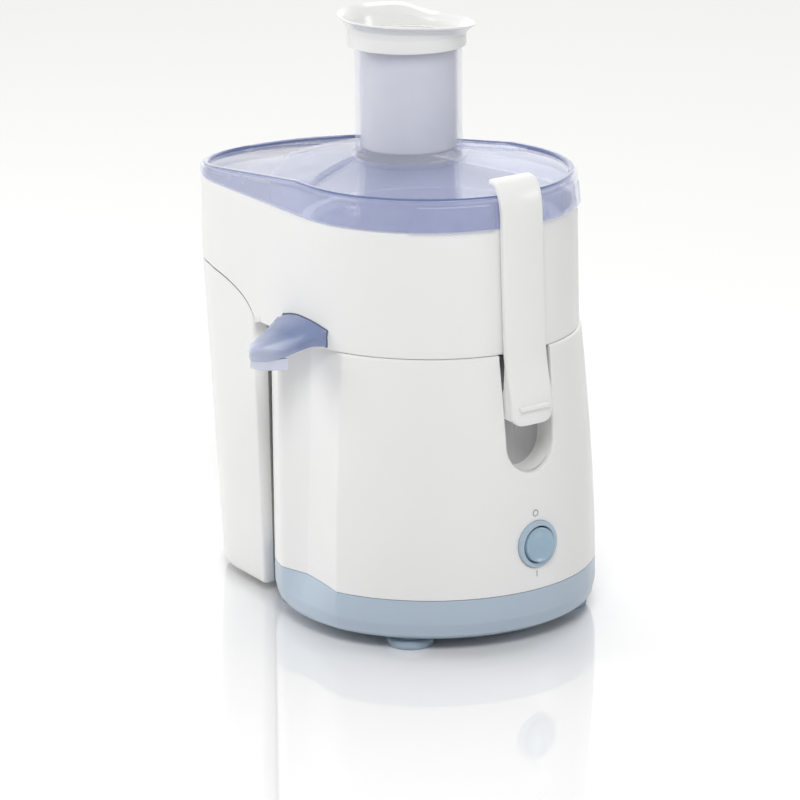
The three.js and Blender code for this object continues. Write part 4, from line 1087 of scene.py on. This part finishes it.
def tooth(radius, degrees):
    """One punched tooth: a leaning three-sided point."""
    p = polar(radius, degrees)
    around = polar(1.0, degrees + 90)
    out = polar(1.0, degrees)
    base = 171.6
    corners = [p + out * 0.75, p - out * 0.75, p - around * 1.3]
    points = [(c.x, c.y, base) for c in corners]
    points.append((p.x + around.x * 0.35, p.y + around.y * 0.35, base + 1.3))
    return mesh_from("tooth", points, [(0, 1, 2), (0, 1, 3), (1, 2, 3), (2, 0, 3)])


def repaint(node, material):
    """A better material on a CAD node that keeps its shape."""
    piece = frame["nodes"][node]
    piece.data.materials.clear()
    piece.data.materials.append(material)
    for polygon in piece.data.polygons:
        polygon.material_index = 0


CAD_LOOKS = {
    STEEL: ["base_screw_1", "base_screw_2", "base_screw_3", "base_screw_4", "lower_bracket", "upper_bracket",
            "lower_bearing", "upper_bearing", "motor_shaft", "clamp_pin"],
    FOIL: ["sieve_basket"],
    WHITE: ["sieve_rim", "sieve_foot_ring"],
    FOOT_RUBBER: ["cord_gland"],
    BLACK_RUBBER: ["motor_damper_1", "motor_damper_2", "motor_damper_3", "motor_damper_4", "shaft_seal"],
    BLACK_PLASTIC: ["switch_body", "interlock_switch", "brush_holder_front", "brush_holder_back", "cooling_fan",
                    "drive_coupling"],
    CARBON: ["carbon_brush_front", "carbon_brush_back"],
    COPPER: ["field_coil_nose", "field_coil_tail", "armature_winding_top", "armature_winding_bottom",
             "commutator"],
    LAMINATIONS: ["motor_stator", "rotor_core"],
}


# ---- studio

def studio():
    """White glossy floor, a bright surround near the horizon, soft boxes and the camera."""
    floor_mesh = bpy.data.meshes.new("floor")
    size = 12.0
    floor_mesh.from_pydata([(-size, -size, 0), (size, -size, 0), (size, size, 0), (-size, size, 0)], [],
                           [(0, 1, 2, 3)])
    floor = bpy.data.objects.new("floor", floor_mesh)
    bpy.context.scene.collection.objects.link(floor)
    m = Nodes("studio_floor")
    m.set(Base_Color=(0.90, 0.90, 0.905, 1), Roughness=0.04, IOR=1.95)
    floor.data.materials.append(m.material)
    surround()
    bpy.context.scene.view_settings.view_transform = "Standard"
    area_light("left_box", azimuth=-50, elevation=24, distance=1.5, size=1.1, power=8.6, glossy=False)
    area_light("front_box", azimuth=56, elevation=46, distance=1.5, size=0.7, power=11.5, glossy=False)
    area_light("right_strip", azimuth=135, elevation=15, distance=1.5, size=0.4, power=1.6)
    area_light("top_box", azimuth=215, elevation=70, distance=2.2, size=1.6, power=16.0)


def surround():
    """A studio wall: bright band above the horizon, dimmer ceiling, dimmer towards the right."""
    world = bpy.data.worlds.new("surround")
    world.use_nodes = True
    tree = world.node_tree
    background = tree.nodes["Background"]
    background.inputs["Color"].default_value = (1.0, 0.995, 0.985, 1)

    toward = tree.nodes.new("ShaderNodeTexCoord").outputs["Generated"]
    height = tree.nodes.new("ShaderNodeSeparateXYZ")
    tree.links.new(toward, height.inputs[0])
    band = ranged(tree, height.outputs["Z"], 0.38, 0.62, WALL_LIGHT, CEILING_LIGHT, smooth=True)
    side = tree.nodes.new("ShaderNodeVectorMath")
    side.operation = "DOT_PRODUCT"
    side.inputs[1].default_value = direction(BRIGHT_AZIMUTH, 0)
    tree.links.new(toward, side.inputs[0])
    dim = ranged(tree, side.outputs["Value"], 0.0, 0.85, FRONT_SHARE, 1.0, smooth=True)
    strength = tree.nodes.new("ShaderNodeMath")
    strength.operation = "MULTIPLY"
    tree.links.new(band, strength.inputs[0])
    tree.links.new(dim, strength.inputs[1])
    tree.links.new(strength.outputs["Value"], background.inputs["Strength"])
    bpy.context.scene.world = world


WALL_LIGHT, CEILING_LIGHT = 1.35, 0.5
BRIGHT_AZIMUTH, FRONT_SHARE = 248, 0.34


def direction(azimuth, elevation):
    a, e = math.radians(azimuth), math.radians(elevation)
    return Vector((math.sin(a) * math.cos(e), -math.cos(a) * math.cos(e), math.sin(e)))


def area_light(name, azimuth, elevation, distance, size, power, glossy=True):
    light = bpy.data.lights.new(name, "AREA")
    light.shape = "DISK"
    light.size = size
    light.energy = power
    lamp = bpy.data.objects.new(name, light)
    bpy.context.scene.collection.objects.link(lamp)
    back = direction(azimuth, elevation)
    lamp.location = Vector((0, 0, 0.14)) + back * distance
    lamp.visible_glossy = glossy
    lamp.rotation_mode = "QUATERNION"
    lamp.rotation_quaternion = (-back).to_track_quat("-Z", "Y")


def camera():
    """Looks from the spout side, a little above the lid, through a long lens."""
    azimuth, elevation, distance, roll = 52.5, 15.75, 2.2, -0.5
    target = to_row(-10.0, -13.1, 109.5)
    data = bpy.data.cameras.new("camera")
    data.sensor_width = 36.0
    data.lens = 191.5
    cam = bpy.data.objects.new("camera", data)
    bpy.context.scene.collection.objects.link(cam)
    back = direction(azimuth, elevation)
    cam.location = target + back * distance
    cam.rotation_mode = "QUATERNION"
    cam.rotation_quaternion = (-back).to_track_quat("-Z", "Y") @ Quaternion((0, 0, 1), math.radians(roll))
    data.clip_start, data.clip_end = 0.05, 60
    bpy.context.scene.camera = cam


# ---- assembly

camera()
studio()
motor_base()
feet()
finish_mesh("collector_wall", juice_collector(), "base", WHITE, replaces=["juice_collector"])
collector_inside()
lid()
pusher()
pulp_container()
clamp()
switch()
spout()
grater()
for look, names in CAD_LOOKS.items():
    for node_name in names:
        repaint(node_name, look)
